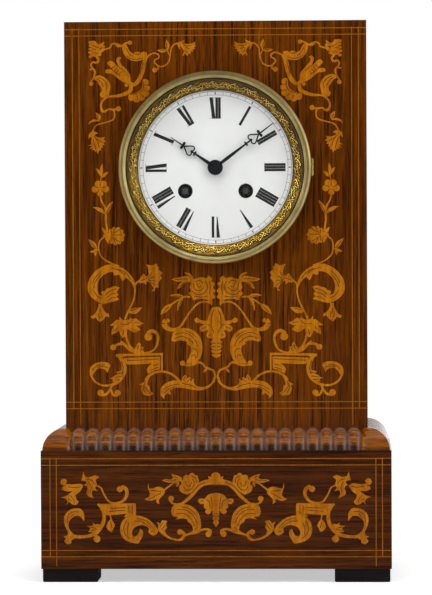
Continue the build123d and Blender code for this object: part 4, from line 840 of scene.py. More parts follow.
def scroll_field():
    """Scrolls, lilies, brackets and the rose of the lower part of the front."""
    wood = shape(
        [(700, 300), (672, 215), (600, 135), (500, 92), (430, 92), (345, 135), (275, 215), (254, 300),
        (275, 372), (335, 425), (400, 448), (480, 432), (550, 412)], [(522, 385)],
        [(540, 362), (520, 345)], [(552, 300)], [(505, 288), (470, 300)], [(430, 312), (420, 330)],
        [(390, 335), (382, 352), (398, 378)],
        [(360, 362), (345, 310), (355, 240), (395, 190), (450, 160), (495, 158)],
        [(500, 188), (545, 180)], [(575, 238), (605, 208)], [(650, 245), (680, 300), (700, 300)])
    wood += vine((690, 285, 18), (690, 360, 16), (670, 440, 16), (630, 520, 16), (600, 590, 16))
    wood += vine((690, 285, 16), (705, 258, 16), (730, 240, 20))
    wood += jagged(
        (722, 245), (745, 205), (770, 170), (785, 185), (795, 205), (820, 180), (812, 120), (795, 85),
        (830, 95), (850, 98), (890, 78), (900, 105), (915, 115), (905, 130), (945, 165), (925, 185),
        (940, 215), (915, 240), (905, 265), (910, 300), (880, 300), (870, 335), (845, 330), (868, 310),
        (850, 280), (830, 250), (800, 240), (795, 275), (770, 255), (740, 262))
    wood += leaf(628, 524, 758, 484, 54, 10)
    wood += shape(
        [(355, 448), (392, 448)], [(390, 480), (420, 530), (450, 545), (452, 575)],
        [(425, 565), (410, 585)], [(395, 600), (368, 620)], [(345, 600), (330, 575)],
        [(300, 588), (280, 568)], [(320, 545), (350, 490), (355, 448)])
    wood += shape(
        [(553, 566), (568, 592), (600, 602), (640, 592), (655, 570)], [(662, 592), (700, 582)],
        [(735, 612), (778, 628)], [(735, 650), (700, 652)], [(725, 672), (745, 690)],
        [(690, 716), (640, 692), (622, 682)], [(612, 740), (580, 766)], [(560, 740), (545, 700)],
        [(510, 722), (475, 736)], [(480, 690), (500, 660)], [(478, 652), (455, 652)],
        [(485, 630), (520, 600), (550, 598)], [(548, 580), (553, 566)])
    wood += vine((606, 720, 18), (620, 790, 20), (650, 850, 24), (700, 890, 28), (750, 906, 26))
    wood += vine(
        (495, 850, 26), (530, 826, 24), (580, 820, 26), (612, 842, 26), (645, 872, 30), (725, 906, 30))
    wood += disc(492, 852, 27)
    wood += leaf(590, 830, 556, 792, 22, 4)
    wood += shape(
        [(688, 852), (702, 846), (712, 826), (726, 804)], [(744, 824), (742, 850)],
        [(756, 846), (772, 850)], [(766, 880), (792, 908)], [(740, 916), (700, 886), (688, 852)])
    wood += vine(
        (785, 905, 16), (850, 886, 17), (890, 840, 20), (905, 770, 24), (890, 722, 28), (850, 700, 32),
        (812, 720, 34))
    wood += disc(815, 755, 36)
    wood += shape(
        [(518, 915), (560, 912), (700, 910), (948, 903)], [(948, 1075)], [(932, 1075)], [(932, 925)],
        [(700, 931), (600, 934), (560, 948), (525, 942)], [(514, 930), (518, 915)])
    wood += shape(
        [(590, 952), (640, 948), (924, 938)], [(922, 1055)], [(875, 1064), (815, 1096)],
        [(800, 1060), (815, 1030), (848, 1000)], [(740, 1008), (620, 1010)], [(600, 985), (590, 952)])
    wood += vine(
        (555, 945, 30), (585, 1000, 40), (590, 1060, 46), (570, 1120, 46), (530, 1170, 34),
        (470, 1200, 22), (390, 1202, 18), (322, 1166, 18), (284, 1105, 20))
    wood += shape(
        [(272, 1090), (282, 1035), (335, 995), (400, 986), (448, 996), (468, 1022)],
        [(452, 1050), (438, 1088)], [(420, 1060), (380, 1046)], [(350, 1050), (322, 1078), (300, 1112)],
        [(280, 1110), (272, 1090)])
    wood += shape(
        [(592, 1056), (555, 1068), (518, 1078)], [(530, 1100), (500, 1114)], [(484, 1130), (458, 1138)],
        [(490, 1148), (482, 1168)], [(545, 1166), (588, 1110), (592, 1056)])
    wood += vine((482, 1192, 18), (466, 1232, 20), (430, 1282, 22), (385, 1292, 24))
    wood += disc(375, 1272, 30)
    wood += vine((466, 1235, 18), (490, 1288, 20), (525, 1296, 22))
    wood += disc(532, 1272, 28)
    wood += vine(
        (790, 1150, 20), (812, 1122, 22), (870, 1086, 22), (940, 1076, 20), (1005, 1088, 20),
        (1062, 1122, 20), (1105, 1168, 20))
    wood += shape(
        [(806, 1118), (778, 1168), (728, 1196)], [(754, 1206), (748, 1238)],
        [(770, 1286), (830, 1298), (864, 1276)], [(832, 1254), (824, 1212)],
        [(806, 1192), (816, 1148), (828, 1124), (806, 1118)])
    wood += shape(
        [(965, 1330), (928, 1290), (932, 1230), (980, 1180), (1050, 1158), (1122, 1160)],
        [(1132, 1130), (1155, 1103)], [(1168, 1125), (1162, 1150)], [(1180, 1134), (1205, 1130)],
        [(1200, 1150), (1208, 1168)], [(1220, 1150), (1240, 1140)],
        [(1232, 1170), (1260, 1208), (1330, 1216), (1395, 1180), (1418, 1120)],
        [(1432, 1140), (1428, 1170)],
        [(1370, 1225), (1280, 1250), (1200, 1238), (1120, 1224), (1050, 1228), (1012, 1252)],
        [(1022, 1272), (1018, 1294)], [(996, 1276), (978, 1286)], [(962, 1304), (965, 1330)])
    wood += vine(
        (1432, 1130, 18), (1418, 1072, 18), (1370, 1046, 18), (1335, 1030, 18), (1318, 1006, 20),
        (1280, 990, 22), (1210, 1016, 20), (1150, 1014, 20))
    wood += disc(1130, 998, 24)
    wood += leaf(1358, 1046, 1322, 1088, 24, 4)
    wood += shape(
        [(1030, 762), (1052, 708), (1110, 678), (1180, 676), (1250, 708), (1297, 770), (1314, 850),
        (1302, 930), (1266, 986), (1212, 1002), (1160, 1000)], [(1195, 935), (1212, 885)],
        [(1205, 845), (1172, 822)], [(1168, 800), (1112, 788), (1050, 802)], [(1030, 790), (1030, 762)])
    wood += shape(
        [(1215, 205), (1245, 222), (1300, 204), (1350, 216)], [(1372, 192), (1402, 216), (1395, 245)],
        [(1426, 262), (1412, 300)], [(1432, 330), (1412, 356)], [(1432, 388), (1400, 412)],
        [(1405, 440), (1398, 470)], [(1380, 440), (1360, 412)], [(1290, 404), (1232, 418)],
        [(1214, 386), (1186, 356)], [(1206, 330), (1194, 300)], [(1205, 260), (1215, 205)])
    wood += shape(
        [(1025, 225), (1060, 214), (1110, 204), (1150, 196), (1175, 196)], [(1160, 172), (1145, 158)],
        [(1200, 172), (1228, 212)], [(1212, 250), (1180, 246)], [(1140, 268), (1110, 300), (1080, 318)],
        [(1095, 275), (1130, 244)], [(1080, 246), (1025, 225)])
    wood += vine((1195, 388, 18), (1150, 386, 16), (1082, 420, 16), (1022, 460, 14))
    wood += leaf(1150, 388, 1012, 374, 32, 8)
    wood += leaf(1135, 392, 1084, 518, 34, 10)
    wood += leaf(1034, 452, 926, 552, 50, 6)
    wood += vine(
        (1398, 444, 18), (1330, 430, 16), (1270, 450, 16), (1210, 510, 16), (1150, 600, 18),
        (1105, 664, 22), (1045, 690, 30), (990, 674, 44), (962, 636, 50), (978, 604, 42),
        (1000, 606, 30))
    wood += shape(
        [(1445, 478), (1402, 488), (1372, 555), (1360, 606)], [(1330, 606), (1290, 598)],
        [(1262, 578), (1240, 598), (1258, 626), (1290, 622)], [(1320, 640), (1348, 642)],
        [(1305, 652), (1288, 680), (1312, 708), (1356, 690)],
        [(1368, 702), (1352, 742), (1375, 768), (1412, 770)], [(1398, 790), (1384, 802)], [(1402, 822)],
        [(1384, 844)], [(1404, 864)], [(1392, 886)], [(1410, 904)], [(1402, 930), (1445, 950)])
    lines = [
        ((380, 152), (332, 200), (300, 262)), ((375, 180), (325, 250), (312, 300)),
        ((388, 400), (345, 382), (312, 330)), ((440, 420), (480, 395), (515, 392)),
        ((430, 395), (470, 362), (510, 355)), ((420, 370), (460, 335), (525, 312)),
        ((470, 120), (540, 140), (600, 185)), ((540, 130), (610, 170), (650, 225)),
        ((558, 632), (600, 642), (640, 630), (662, 604)), ((690, 622), (735, 628)),
        ((590, 690), (582, 740)), ((515, 690), (530, 670)), ((350, 545), (365, 580)),
        ((385, 540), (390, 580)), ((370, 500), (370, 530)), ((745, 235), (800, 215), (850, 160)),
        ((812, 225), (870, 200)), ((815, 232), (880, 240)), ((820, 236), (880, 280)),
        ((650, 515), (720, 492)), ((715, 870), (726, 830)), ((740, 885), (755, 862)),
        ((620, 975), (760, 968), (905, 960)), ((860, 1020), (905, 1010)), ((840, 1060), (905, 1035)),
        ((566, 980), (582, 1040), (572, 1100)), ((300, 1060), (345, 1022), (410, 1012)),
        ((345, 1040), (395, 1028), (440, 1040)), ((530, 1095), (575, 1085)), ((505, 1130), (565, 1120)),
        ((505, 1155), (550, 1150)), ((790, 1170), (770, 1220), (790, 1270)),
        ((770, 1200), (800, 1240), (840, 1280)), ((960, 1240), (1020, 1205), (1100, 1190)),
        ((960, 1275), (1000, 1240), (1060, 1215)), ((1130, 1185), (1200, 1200), (1260, 1228)),
        ((1140, 1150), (1155, 1120)), ((1175, 1170), (1195, 1145)),
        ((1062, 735), (1120, 718), (1185, 730), (1240, 775), (1272, 840)),
        ((1060, 770), (1120, 752), (1180, 768), (1228, 810)), ((1160, 700), (1215, 722), (1255, 760)),
        ((1222, 865), (1256, 872), (1270, 902), (1262, 945)), ((1215, 930), (1240, 920), (1250, 950)),
        ((1215, 330), (1262, 366), (1328, 352), (1362, 300), (1342, 242)),
        ((1232, 262), (1240, 312), (1285, 330), (1326, 300)), ((1262, 258), (1275, 295), (1305, 290)),
        ((1250, 245), (1290, 236), (1322, 258)), ((1375, 240), (1385, 290), (1380, 360)),
        ((1360, 380), (1300, 388), (1240, 380)), ((1060, 226), (1120, 222), (1180, 222)),
        ((1170, 176), (1200, 205)), ((1105, 290), (1150, 250)), ((1120, 382), (1050, 378)),
        ((1122, 420), (1095, 490)), ((1005, 480), (950, 530)), ((1420, 510), (1400, 560), (1395, 640)),
        ((1360, 640), (1395, 660), (1420, 720)), ((1310, 680), (1350, 665)), ((1370, 740), (1400, 735)),
        ((1400, 812), (1434, 816)), ((1396, 842), (1434, 848)), ((1404, 874), (1434, 880)),
        ((1406, 908), (1434, 912))]
    return wood, lines


def plinth_field():
    """Lilies, scrolls, rose and shell of the plinth."""
    wood = shape(
        [(42, 118), (58, 90), (92, 88), (108, 112), (90, 136)], [(150, 142), (225, 134), (268, 150)],
        [(252, 186), (225, 220), (190, 245)], [(200, 285), (222, 310)],
        [(206, 336), (178, 342), (150, 330)], [(128, 314), (98, 348)],
        [(112, 312), (95, 282), (48, 266)], [(95, 256), (135, 228), (168, 202)],
        [(130, 210), (90, 206), (56, 190)], [(66, 164), (98, 150)], [(60, 146), (42, 118)])
    wood += shape(
        [(265, 16), (284, 58), (312, 70), (345, 66)], [(385, 52), (424, 70)], [(390, 100), (402, 140)],
        [(386, 178), (412, 212)], [(362, 200), (352, 240), (374, 278)],
        [(320, 258), (298, 226), (310, 188)], [(300, 160), (272, 150)],
        [(296, 130), (290, 110), (248, 102)], [(258, 70), (265, 16)])
    wood += vine(
        (392, 150, 14), (440, 175, 15), (466, 230, 16), (510, 300, 18), (560, 325, 20), (620, 320, 24),
        (670, 290, 28), (695, 240, 32), (688, 190, 34), (655, 165, 34))
    wood += disc(626, 188, 30)
    wood += shape(
        [(406, 328), (470, 332), (765, 325)], [(782, 340), (784, 446)], [(740, 446), (668, 462)],
        [(676, 446), (692, 428)], [(560, 440), (486, 442)], [(476, 400), (446, 368)],
        [(410, 352), (406, 328)])
    wood += vine(
        (432, 350, 24), (464, 420, 36), (464, 500, 42), (430, 572, 44), (380, 624, 38), (300, 650, 30),
        (205, 655, 32), (150, 640, 34))
    wood += disc(402, 676, 34)
    wood += vine((385, 640, 24), (400, 660, 30))
    wood += shape(
        [(152, 625), (118, 602)], [(110, 640), (72, 655)], [(98, 668), (82, 700), (112, 730)],
        [(148, 716), (150, 690)], [(190, 660), (152, 625)])
    wood += shape(
        [(446, 545), (420, 530), (382, 532), (358, 512)], [(362, 540), (305, 550)],
        [(336, 574), (314, 606)], [(372, 612), (424, 592), (446, 545)])
    wood += shape(
        [(150, 645), (104, 582), (78, 500), (94, 430), (150, 384), (236, 378), (274, 430), (276, 504)],
        [(258, 478), (232, 452)], [(190, 450), (142, 482), (122, 530), (138, 590), (192, 645)],
        [(170, 650), (150, 645)])
    wood += vine((532, 440, 12), (536, 465, 13), (542, 490, 14))
    wood += shape(
        [(540, 480), (576, 535), (566, 572), (546, 608)],
        [(518, 594), (494, 556), (514, 505), (540, 480)])
    wood += shape(
        [(784, 446), (740, 446), (698, 456), (645, 510), (628, 590), (654, 662), (720, 706),
        (804, 722)], [(846, 655), (852, 602), (824, 576)], [(816, 606), (792, 642), (760, 652),
        (744, 620), (760, 574), (812, 544), (872, 546), (912, 572)], [(904, 610)],
        [(950, 642), (986, 626), (1004, 590)], [(962, 534), (902, 480), (832, 452), (784, 446)])
    wood += shape(
        [(1000, 562), (1002, 536), (984, 508)], [(1008, 516), (1022, 532)], [(1030, 508), (1042, 493)],
        [(1070, 496), (1090, 502)], [(1078, 530), (1088, 562)], [(1064, 600)],
        [(1092, 640), (1150, 668), (1210, 672), (1246, 640)],
        [(1262, 668), (1230, 692), (1200, 694), (1130, 682), (1060, 646), (1004, 592)], [(1000, 562)])
    wood += vine((1240, 668, 26), (1258, 630, 28), (1232, 604, 28))
    wood += disc(1214, 608, 27)
    wood += shape(
        [(1128, 402), (1150, 350), (1230, 334), (1310, 346), (1382, 400), (1414, 480), (1420, 560),
        (1398, 606)], [(1350, 624), (1290, 626)], [(1322, 606), (1344, 590)],
        [(1330, 540), (1290, 505)], [(1280, 482), (1228, 474), (1168, 486)], [(1186, 470), (1202, 458)],
        [(1160, 456), (1138, 440), (1128, 402)])
    wood += vine(
        (1240, 655, 18), (1300, 628, 22), (1380, 610, 24), (1430, 586, 22), (1480, 580, 22),
        (1515, 592, 24))
    wood += disc(1494, 628, 29)
    wood += vine((1515, 592, 24), (1518, 615, 24))
    wood += vine(
        (1112, 282, 20), (1140, 325, 18), (1200, 335, 20), (1252, 318, 26), (1320, 255, 40),
        (1380, 180, 46), (1440, 132, 50), (1520, 116, 52), (1580, 118, 54))
    wood += disc(1128, 282, 28)
    wood += shape(
        [(1212, 200), (1240, 226), (1290, 242)], [(1340, 202), (1392, 150)], [(1402, 110), (1392, 78)],
        [(1386, 54), (1362, 50)], [(1345, 30), (1316, 34), (1302, 56)],
        [(1280, 46), (1254, 60), (1246, 94)], [(1226, 110), (1232, 140)], [(1208, 160), (1212, 200)])
    wood += shape(
        [(1036, 102), (1080, 90), (1120, 94), (1152, 76)], [(1140, 56), (1128, 38)],
        [(1188, 54), (1236, 78)], [(1228, 108), (1198, 112)], [(1208, 140), (1182, 168)],
        [(1176, 140), (1158, 122)], [(1100, 124), (1036, 102)])
    wood += vine((1165, 118, 14), (1120, 150, 15), (1060, 196, 16))
    wood += shape(
        [(1062, 192), (1040, 174), (1000, 164), (945, 180), (916, 184)], [(908, 160), (904, 126)],
        [(900, 170), (912, 204), (920, 232)], [(912, 262), (868, 286)], [(905, 302), (945, 300)],
        [(966, 290), (984, 288)], [(986, 318), (1012, 334)], [(1012, 288), (1052, 246)],
        [(1066, 220), (1062, 192)])
    wood += shape(
        [(1575, 222), (1500, 238), (1456, 284)], [(1410, 280), (1392, 302), (1414, 332), (1452, 330)],
        [(1448, 366), (1472, 384)], [(1462, 412), (1490, 434), (1516, 420)], [(1528, 402), (1540, 400)],
        [(1532, 430)], [(1548, 450)], [(1534, 474)], [(1548, 496)], [(1540, 520), (1575, 560)])
    wood += disc(1568, 66, 44)
    wood += vine((1500, 108, 30), (1520, 80, 26), (1560, 64, 26))
    wood += leaf(1535, 110, 1490, 62, 30, 4)
    lines = [
        ((120, 165), (200, 172), (240, 160)), ((140, 250), (170, 290), (180, 325)),
        ((120, 285), (150, 300)), ((300, 90), (350, 100), (380, 140)),
        ((320, 120), (345, 170), (335, 220)), ((540, 375), (620, 372), (680, 366)),
        ((520, 405), (600, 400), (670, 395)), ((712, 350), (716, 420)), ((745, 345), (748, 425)),
        ((445, 400), (452, 470), (430, 545)), ((330, 560), (390, 570)), ((345, 595), (400, 580)),
        ((110, 520), (118, 450), (165, 412), (225, 412)), ((130, 470), (180, 430)),
        ((535, 510), (550, 570)), ((690, 500), (664, 560), (676, 625), (720, 670)),
        ((715, 520), (700, 580), (706, 640)), ((790, 470), (880, 498), (950, 565)),
        ((770, 500), (850, 510), (930, 570)), ((930, 600), (965, 600)), ((1020, 560), (1045, 520)),
        ((1040, 580), (1072, 540)), ((1080, 605), (1140, 650), (1200, 680)),
        ((1190, 385), (1270, 392), (1340, 440), (1382, 520)), ((1230, 362), (1310, 380), (1370, 440)),
        ((1180, 430), (1260, 430), (1320, 475), (1360, 550)), ((1355, 590), (1385, 560)),
        ((1250, 160), (1280, 200), (1330, 180), (1356, 130), (1335, 85)),
        ((1272, 110), (1278, 150), (1310, 155), (1330, 120)), ((1330, 60), (1368, 80), (1374, 120)),
        ((1070, 104), (1130, 106), (1180, 92)), ((1155, 60), (1195, 80)), ((1180, 150), (1178, 125)),
        ((930, 200), (980, 205), (1030, 210)), ((925, 280), (980, 250), (1030, 225)),
        ((1260, 290), (1330, 225), (1400, 150), (1470, 118)), ((1470, 290), (1500, 310), (1510, 370)),
        ((1520, 270), (1530, 340), (1530, 380)), ((1420, 305), (1440, 300)), ((1545, 430), (1563, 430)),
        ((1552, 455), (1563, 455)), ((1548, 480), (1563, 480))]
    return wood, lines


def lay_marquetry(name, plane, sheets):
    """The inlay of one face, both halves, and the dark lines cut in it."""
    wood = []
    cuts = []
    for (left, top, units), (outlines, lines) in sheets:
        groups = [(wood, outlines)]
        strokes = []
        for line in lines:
            strokes += vine(*[(x, y, line_width * units) for x, y in line])
        groups.append((cuts, strokes))
        for store, found in groups:
            for outline in found:
                half = [on_plane(left + x / units, top + y / units, plane) for x, y in outline]
                store.append(half)
                store.append([(-x, z) for x, z in half])
    lay_flat(name + "_inlay", wood, inlay_depth, boxwood, "case", lambda x, z: plane - inlay_proud)
    lay_flat(name + "_engraving", cuts, inlay_depth / 2, engraved_line, "case",
             lambda x, z: plane - engraving_proud)


lay_marquetry("front_marquetry", body_front, (
    (corner_sheet, corner_spray()),
    (garland_sheet, side_garland()),
    (scroll_sheet, scroll_field()),
))
lay_marquetry("plinth_marquetry", plinth_front, ((plinth_sheet, plinth_field()),))

# Stringing: the pixels of the lines on the left half and of the level lines
string_width = 0.55
string_margin = 0.2
front_uprights = ((73.0, 28.7, 408.4), (79.8, 28.7, 425.0))
front_levels = (28.7, 35.1, 401.9, 408.4)
plinth_uprights = ((50.1, 458.6, 556.8), (56.5, 458.6, 566.0))
plinth_levels = (458.6, 465.1, 550.4, 556.8)
middle_px = 215.5


def lay_stringing(name, plane, uprights, levels, half_width, lowest):
    """Double lines of inlay round a face: level lines from edge to edge, upright lines between them."""
    bars = []
    half = string_width / 2
    for pixel_y in levels:
        z = on_plane(middle_px, pixel_y, plane)[1]
        bars.append([(-half_width, z - half), (half_width, z - half),
                     (half_width, z + half), (-half_width, z + half)])
    for pixel_x, top, bottom in uprights:
        x = on_plane(pixel_x, (top + bottom) / 2, plane)[0]
        high = on_plane(pixel_x, top, plane)[1] + half
        low = max(on_plane(pixel_x, bottom, plane)[1] - half, lowest)
        for side in (x, -x):
            bars.append([(side - half, low), (side + half, low), (side + half, high), (side - half, high)])
    lay_flat(name, bars, inlay_depth, string_wood, "case", lambda x, z: plane - inlay_proud)


lay_stringing("front_stringing", body_front, front_uprights, front_levels,
              case_half - string_margin, moulding_box[1].z / mm + string_margin)
lay_stringing("plinth_stringing", plinth_front, plinth_uprights, plinth_levels,
              plinth_box[1].x / mm - string_margin, plinth_box[0].z / mm + string_margin)


# Dial print

numeral_foot = 32.4
numeral_head = 46.3
bar_width = 1.7
bold_width = 2.25
point_width = 0.6
hair_width = 0.16
serif_reach = 0.3
letter_gap = 0.15
track_inner = 48.0
track_outer = 50.3
track_line = 0.18
dot_radius = 0.46


def dial_face(x, z):
    """The domed dial's front, a hair's breadth of ink proud."""
    share = (x * x + (z - dial_centre_z) ** 2) / dial_edge_radius ** 2
    return dial_crown + dial_rise * share - ink_proud


def numeral_strokes(word):
    """The strokes of a Roman numeral, centred: from, to and both widths, with hairline serifs."""
    advance = {"I": 1.82, "V": 3.6, "X": 3.8}
    at = -sum(advance[letter] for letter in word) / 2
    strokes = []
    for letter in word:
        middle = at + advance[letter] / 2
        at += advance[letter]
        reach = (advance[letter] - bar_width) / 2 - letter_gap
        left = middle - reach
        right = middle + reach
        if letter == "I":
            strokes.append((middle, numeral_foot, middle, numeral_head, bar_width, bar_width))
            ends = ((middle, numeral_foot), (middle, numeral_head))
        elif letter == "V":
            strokes.append((left, numeral_head, middle, numeral_foot, bold_width, point_width))
            strokes.append((right, numeral_head, middle, numeral_foot, hair_width, hair_width))
            ends = ((left, numeral_head), (right, numeral_head))
        else:
            strokes.append((left, numeral_head, right, numeral_foot, bold_width, bold_width))
            strokes.append((right, numeral_head, left, numeral_foot, hair_width, hair_width))
            ends = ((left, numeral_head), (right, numeral_head), (left, numeral_foot), (right, numeral_foot))
        for x, y in ends:
            width = bar_width / 2 + serif_reach
            strokes.append((x - width, y, x + width, y, hair_width, hair_width))
    return strokes


def print_dial():
    """Numerals, minute track and dots in black on the enamel."""
    marks = []
    words = ("XII", "I", "II", "III", "IIII", "V", "VI", "VII", "VIII", "IX", "X", "XI")

    def turned(points, angle):
        out = []
        for across, away in points:
            out.append((away * math.sin(angle) + across * math.cos(angle),
                        dial_centre_z + away * math.cos(angle) - across * math.sin(angle)))
        return out

    for hour, word in enumerate(words):
        angle = math.radians(30 * hour)
        for ax, ay, bx, by, first_width, last_width in numeral_strokes(word):
            run = Vector((bx - ax, by - ay)).normalized()
            # Upright strokes are cut level at head and foot
            side = Vector((-run.y, run.x)) if abs(run.y) < 0.5 else Vector((-1 if run.y > 0 else 1, 0))
            first = side * first_width / 2
            last = side * last_width / 2
            bar = [(ax + first.x, ay + first.y), (bx + last.x, by + last.y),
                   (bx - last.x, by - last.y), (ax - first.x, ay - first.y)]
            marks.append(turned(bar, angle))
        spot = turned([(0, (track_inner + track_outer) / 2)], angle)[0]
        marks += disc(spot[0], spot[1], dot_radius, 14)
    for minute in range(60):
        half = track_line * (0.9 if minute % 5 == 0 else 0.6)
        tick = [(-half, track_inner), (half, track_inner), (half, track_outer), (-half, track_outer)]
        marks.append(turned(tick, math.radians(6 * minute)))
    for radius in (track_inner, track_outer):
        marks += ring(0, dial_centre_z, radius + track_line / 2, radius - track_line / 2, 180)
    lay_flat("dial_numerals", marks, ink_depth, dial_ink, "case", dial_face)


print_dial()


# Cast ornament of the sight ring

ring_inner_radius = 52.1
ring_outer_radius = 57.3
ring_inner_face = body_front - 1.2
ring_outer_face = body_front - 4.35
ring_units = 24
ring_mean_radius = 54.7
band_breadth = 5.6
flower_petals = 6
stem_girth = 0.34
lobe_reach = 0.86
lobe_breadth = 0.7
lobe_height = 0.95


def swept(points, thickness):
    """A tapering round stem along points of u, v, height and girth, as a mesh object."""
    bpy.ops.curve.primitive_nurbs_path_add(radius=1.0)
    stem = bpy.context.object
    line = stem.data.splines[0]
    line.points.add(max(len(points) - len(line.points), 0))
    for spot, (u, v, height, girth) in zip(line.points, points):
        spot.co = (u, v, height, 1.0)
        spot.radius = girth
    line.order_u = 4
    line.use_endpoint_u = True
    line.resolution_u = 3
    stem.data.bevel_depth = thickness
    stem.data.bevel_resolution = 2
    stem.data.use_fill_caps = True
    bpy.ops.object.convert(target="MESH")
    return bpy.context.object


def petal_lobe(u, v, length, width, height, turn):
    """A ridged leaf lobe lying on the band, pointed at its far end."""
    bpy.ops.mesh.primitive_uv_sphere_add(segments=10, ring_count=6, radius=1.0)
    lobe = bpy.context.object
    bpy.ops.object.mode_set(mode="EDIT")
    bpy.ops.mesh.select_all(action="SELECT")
    bpy.ops.transform.rotate(value=quarter, orient_axis="Y", center_override=(0, 0, 0))
    bpy.ops.object.mode_set(mode="OBJECT")
    for vertex in lobe.data.vertices:
        spot = vertex.co
        taper = 1.0 - 0.75 * max(spot.x, 0.0) ** 1.5
        crease = 1.0 - 0.45 * math.exp(-(spot.y / 0.28) ** 2) if spot.z > 0 else 1.0
        x = (spot.x + 1.0) / 2 * length
        y = spot.y * taper * width / 2
        vertex.co = (
            u + x * math.cos(turn) - y * math.sin(turn),
            v + x * math.sin(turn) + y * math.cos(turn),
            spot.z * height * crease + 0.55 * height * (spot.x + 1.0) * 0.5,
        )
    return lobe


def bead(u, v, radius, height):
    bpy.ops.mesh.primitive_uv_sphere_add(segments=10, ring_count=6, radius=radius)
    drop = bpy.context.object
    for vertex in drop.data.vertices:
        spot = vertex.co
        vertex.co = (u + spot.x, v + spot.y, height + spot.z)
    return drop


def cast_ornament():
    """One length of leaf scroll with its flower, repeated round the sloping band."""
    clear_selection()
    pieces = []
    length = 2 * math.pi * ring_mean_radius / ring_units
    half = length / 2
    pieces.append(swept([
        (-half, 1.0, 0.2, 0.7), (-half + 2.0, 2.6, 0.35, 1.0), (-half + 4.4, 4.6, 0.45, 1.0),
        (-1.6, 4.4, 0.5, 0.9), (-0.6, 2.9, 0.5, 0.8), (-1.8, 1.9, 0.55, 0.7),
        (-2.9, 2.7, 0.65, 0.6)], stem_girth))
    pieces.append(swept([
        (half, 1.0, 0.2, 0.7), (half - 2.0, 2.2, 0.35, 1.0), (half - 4.2, 1.2, 0.45, 1.0),
        (1.6, 1.0, 0.5, 0.9), (0.7, 2.4, 0.5, 0.8), (1.9, 3.5, 0.55, 0.7),
        (3.0, 2.9, 0.65, 0.6)], stem_girth))
    for u, v, reach, width, turn in (
            (-half + 1.2, 2.0, 3.0, 1.5, 1.9), (-half + 2.6, 3.2, 2.8, 1.4, 2.3),
            (-half + 2.8, 3.0, 2.6, 1.3, -0.9), (-half + 4.4, 4.5, 2.4, 1.3, 0.5),
            (-2.2, 4.6, 2.6, 1.3, 0.4), (-1.2, 2.6, 2.2, 1.2, -1.2),
            (half - 1.4, 1.8, 3.0, 1.5, 1.3), (half - 2.8, 2.0, 2.8, 1.4, 1.9),
            (half - 4.4, 1.4, 2.6, 1.3, 2.6), (2.2, 1.1, 2.4, 1.3, -2.8),
            (1.2, 2.8, 2.4, 1.2, 1.9), (-half + 1.0, 1.6, 2.4, 1.2, -0.2),
            (half - 1.2, 1.2, 2.2, 1.1, -2.6), (half - 3.0, 3.2, 2.4, 1.2, 0.8)):
        pieces.append(petal_lobe(u, v, reach * lobe_reach, width * lobe_breadth, lobe_height, turn))
    for step in range(flower_petals):
        turn = 2 * math.pi * step / flower_petals
        u = 0.3 * math.cos(turn)
        v = 3.0 + 0.3 * math.sin(turn)
        pieces.append(petal_lobe(u, v, 1.6, 0.95, 1.0, turn))
    pieces.append(bead(0.0, 3.0, 0.55, 1.1))
    for u, v in ((-2.9, 2.8), (3.0, 2.8), (-half, 3.6), (-half, 4.7), (half - 1.8, 4.4)):
        pieces.append(bead(u, v, 0.5, 0.4))
    unit = join(pieces)
    bpy.ops.object.mode_set(mode="EDIT")
    bpy.ops.mesh.select_all(action="SELECT")
    bpy.ops.mesh.remove_doubles(threshold=weld_distance)
    bpy.ops.mesh.normals_make_consistent(inside=False)
    bpy.ops.object.mode_set(mode="OBJECT")
    flat = [tuple(vertex.co) for vertex in unit.data.vertices]
    band = Vector((ring_outer_radius - ring_inner_radius, ring_inner_face - ring_outer_face)).normalized()
    slope = (ring_outer_radius - ring_inner_radius) / band.x
    copies = [unit]
    for step in range(1, ring_units):
        clear_selection()
        unit.select_set(True)
        bpy.context.view_layer.objects.active = unit
        bpy.ops.object.duplicate()
        copies.append(bpy.context.object)
    for step, copy in enumerate(copies):
        for vertex, (u, v, height) in zip(copy.data.vertices, flat):
            along = v / band_breadth * slope
            radius = ring_inner_radius + along * band.x - height * band.y
            lift = along * band.y + height * band.x
            turn = 2 * math.pi * step / ring_units + u / ring_mean_radius
            vertex.co = (radius * math.sin(turn) * mm, (ring_inner_face - lift) * mm,
                         (dial_centre_z + radius * math.cos(turn)) * mm)
    cast = join(copies)
    bpy.ops.object.shade_smooth()
    return settle(cast, "sight_ring_foliage", gilt, "bezel")


cast_ornament()


# Ribbed mouldings

rib_steps = 12
curve_steps = 20
mitre_shares = (0.25, 0.5, 0.75, 1.0)


def rib_swell(along, first, count):
    """The radius of the quarter round at a place along its run; plain ends are rounded down to the ribs."""
    place = along - first
    length = count * rib_pitch
    if 0 <= place <= length:
        off_crest = abs(place % rib_pitch - rib_pitch / 2)
    else:
        off_crest = max(rib_pitch / 2 - max(-place, place - length), 0.0)
    return moulding_radius - rib_round + math.sqrt(rib_round ** 2 - off_crest ** 2)


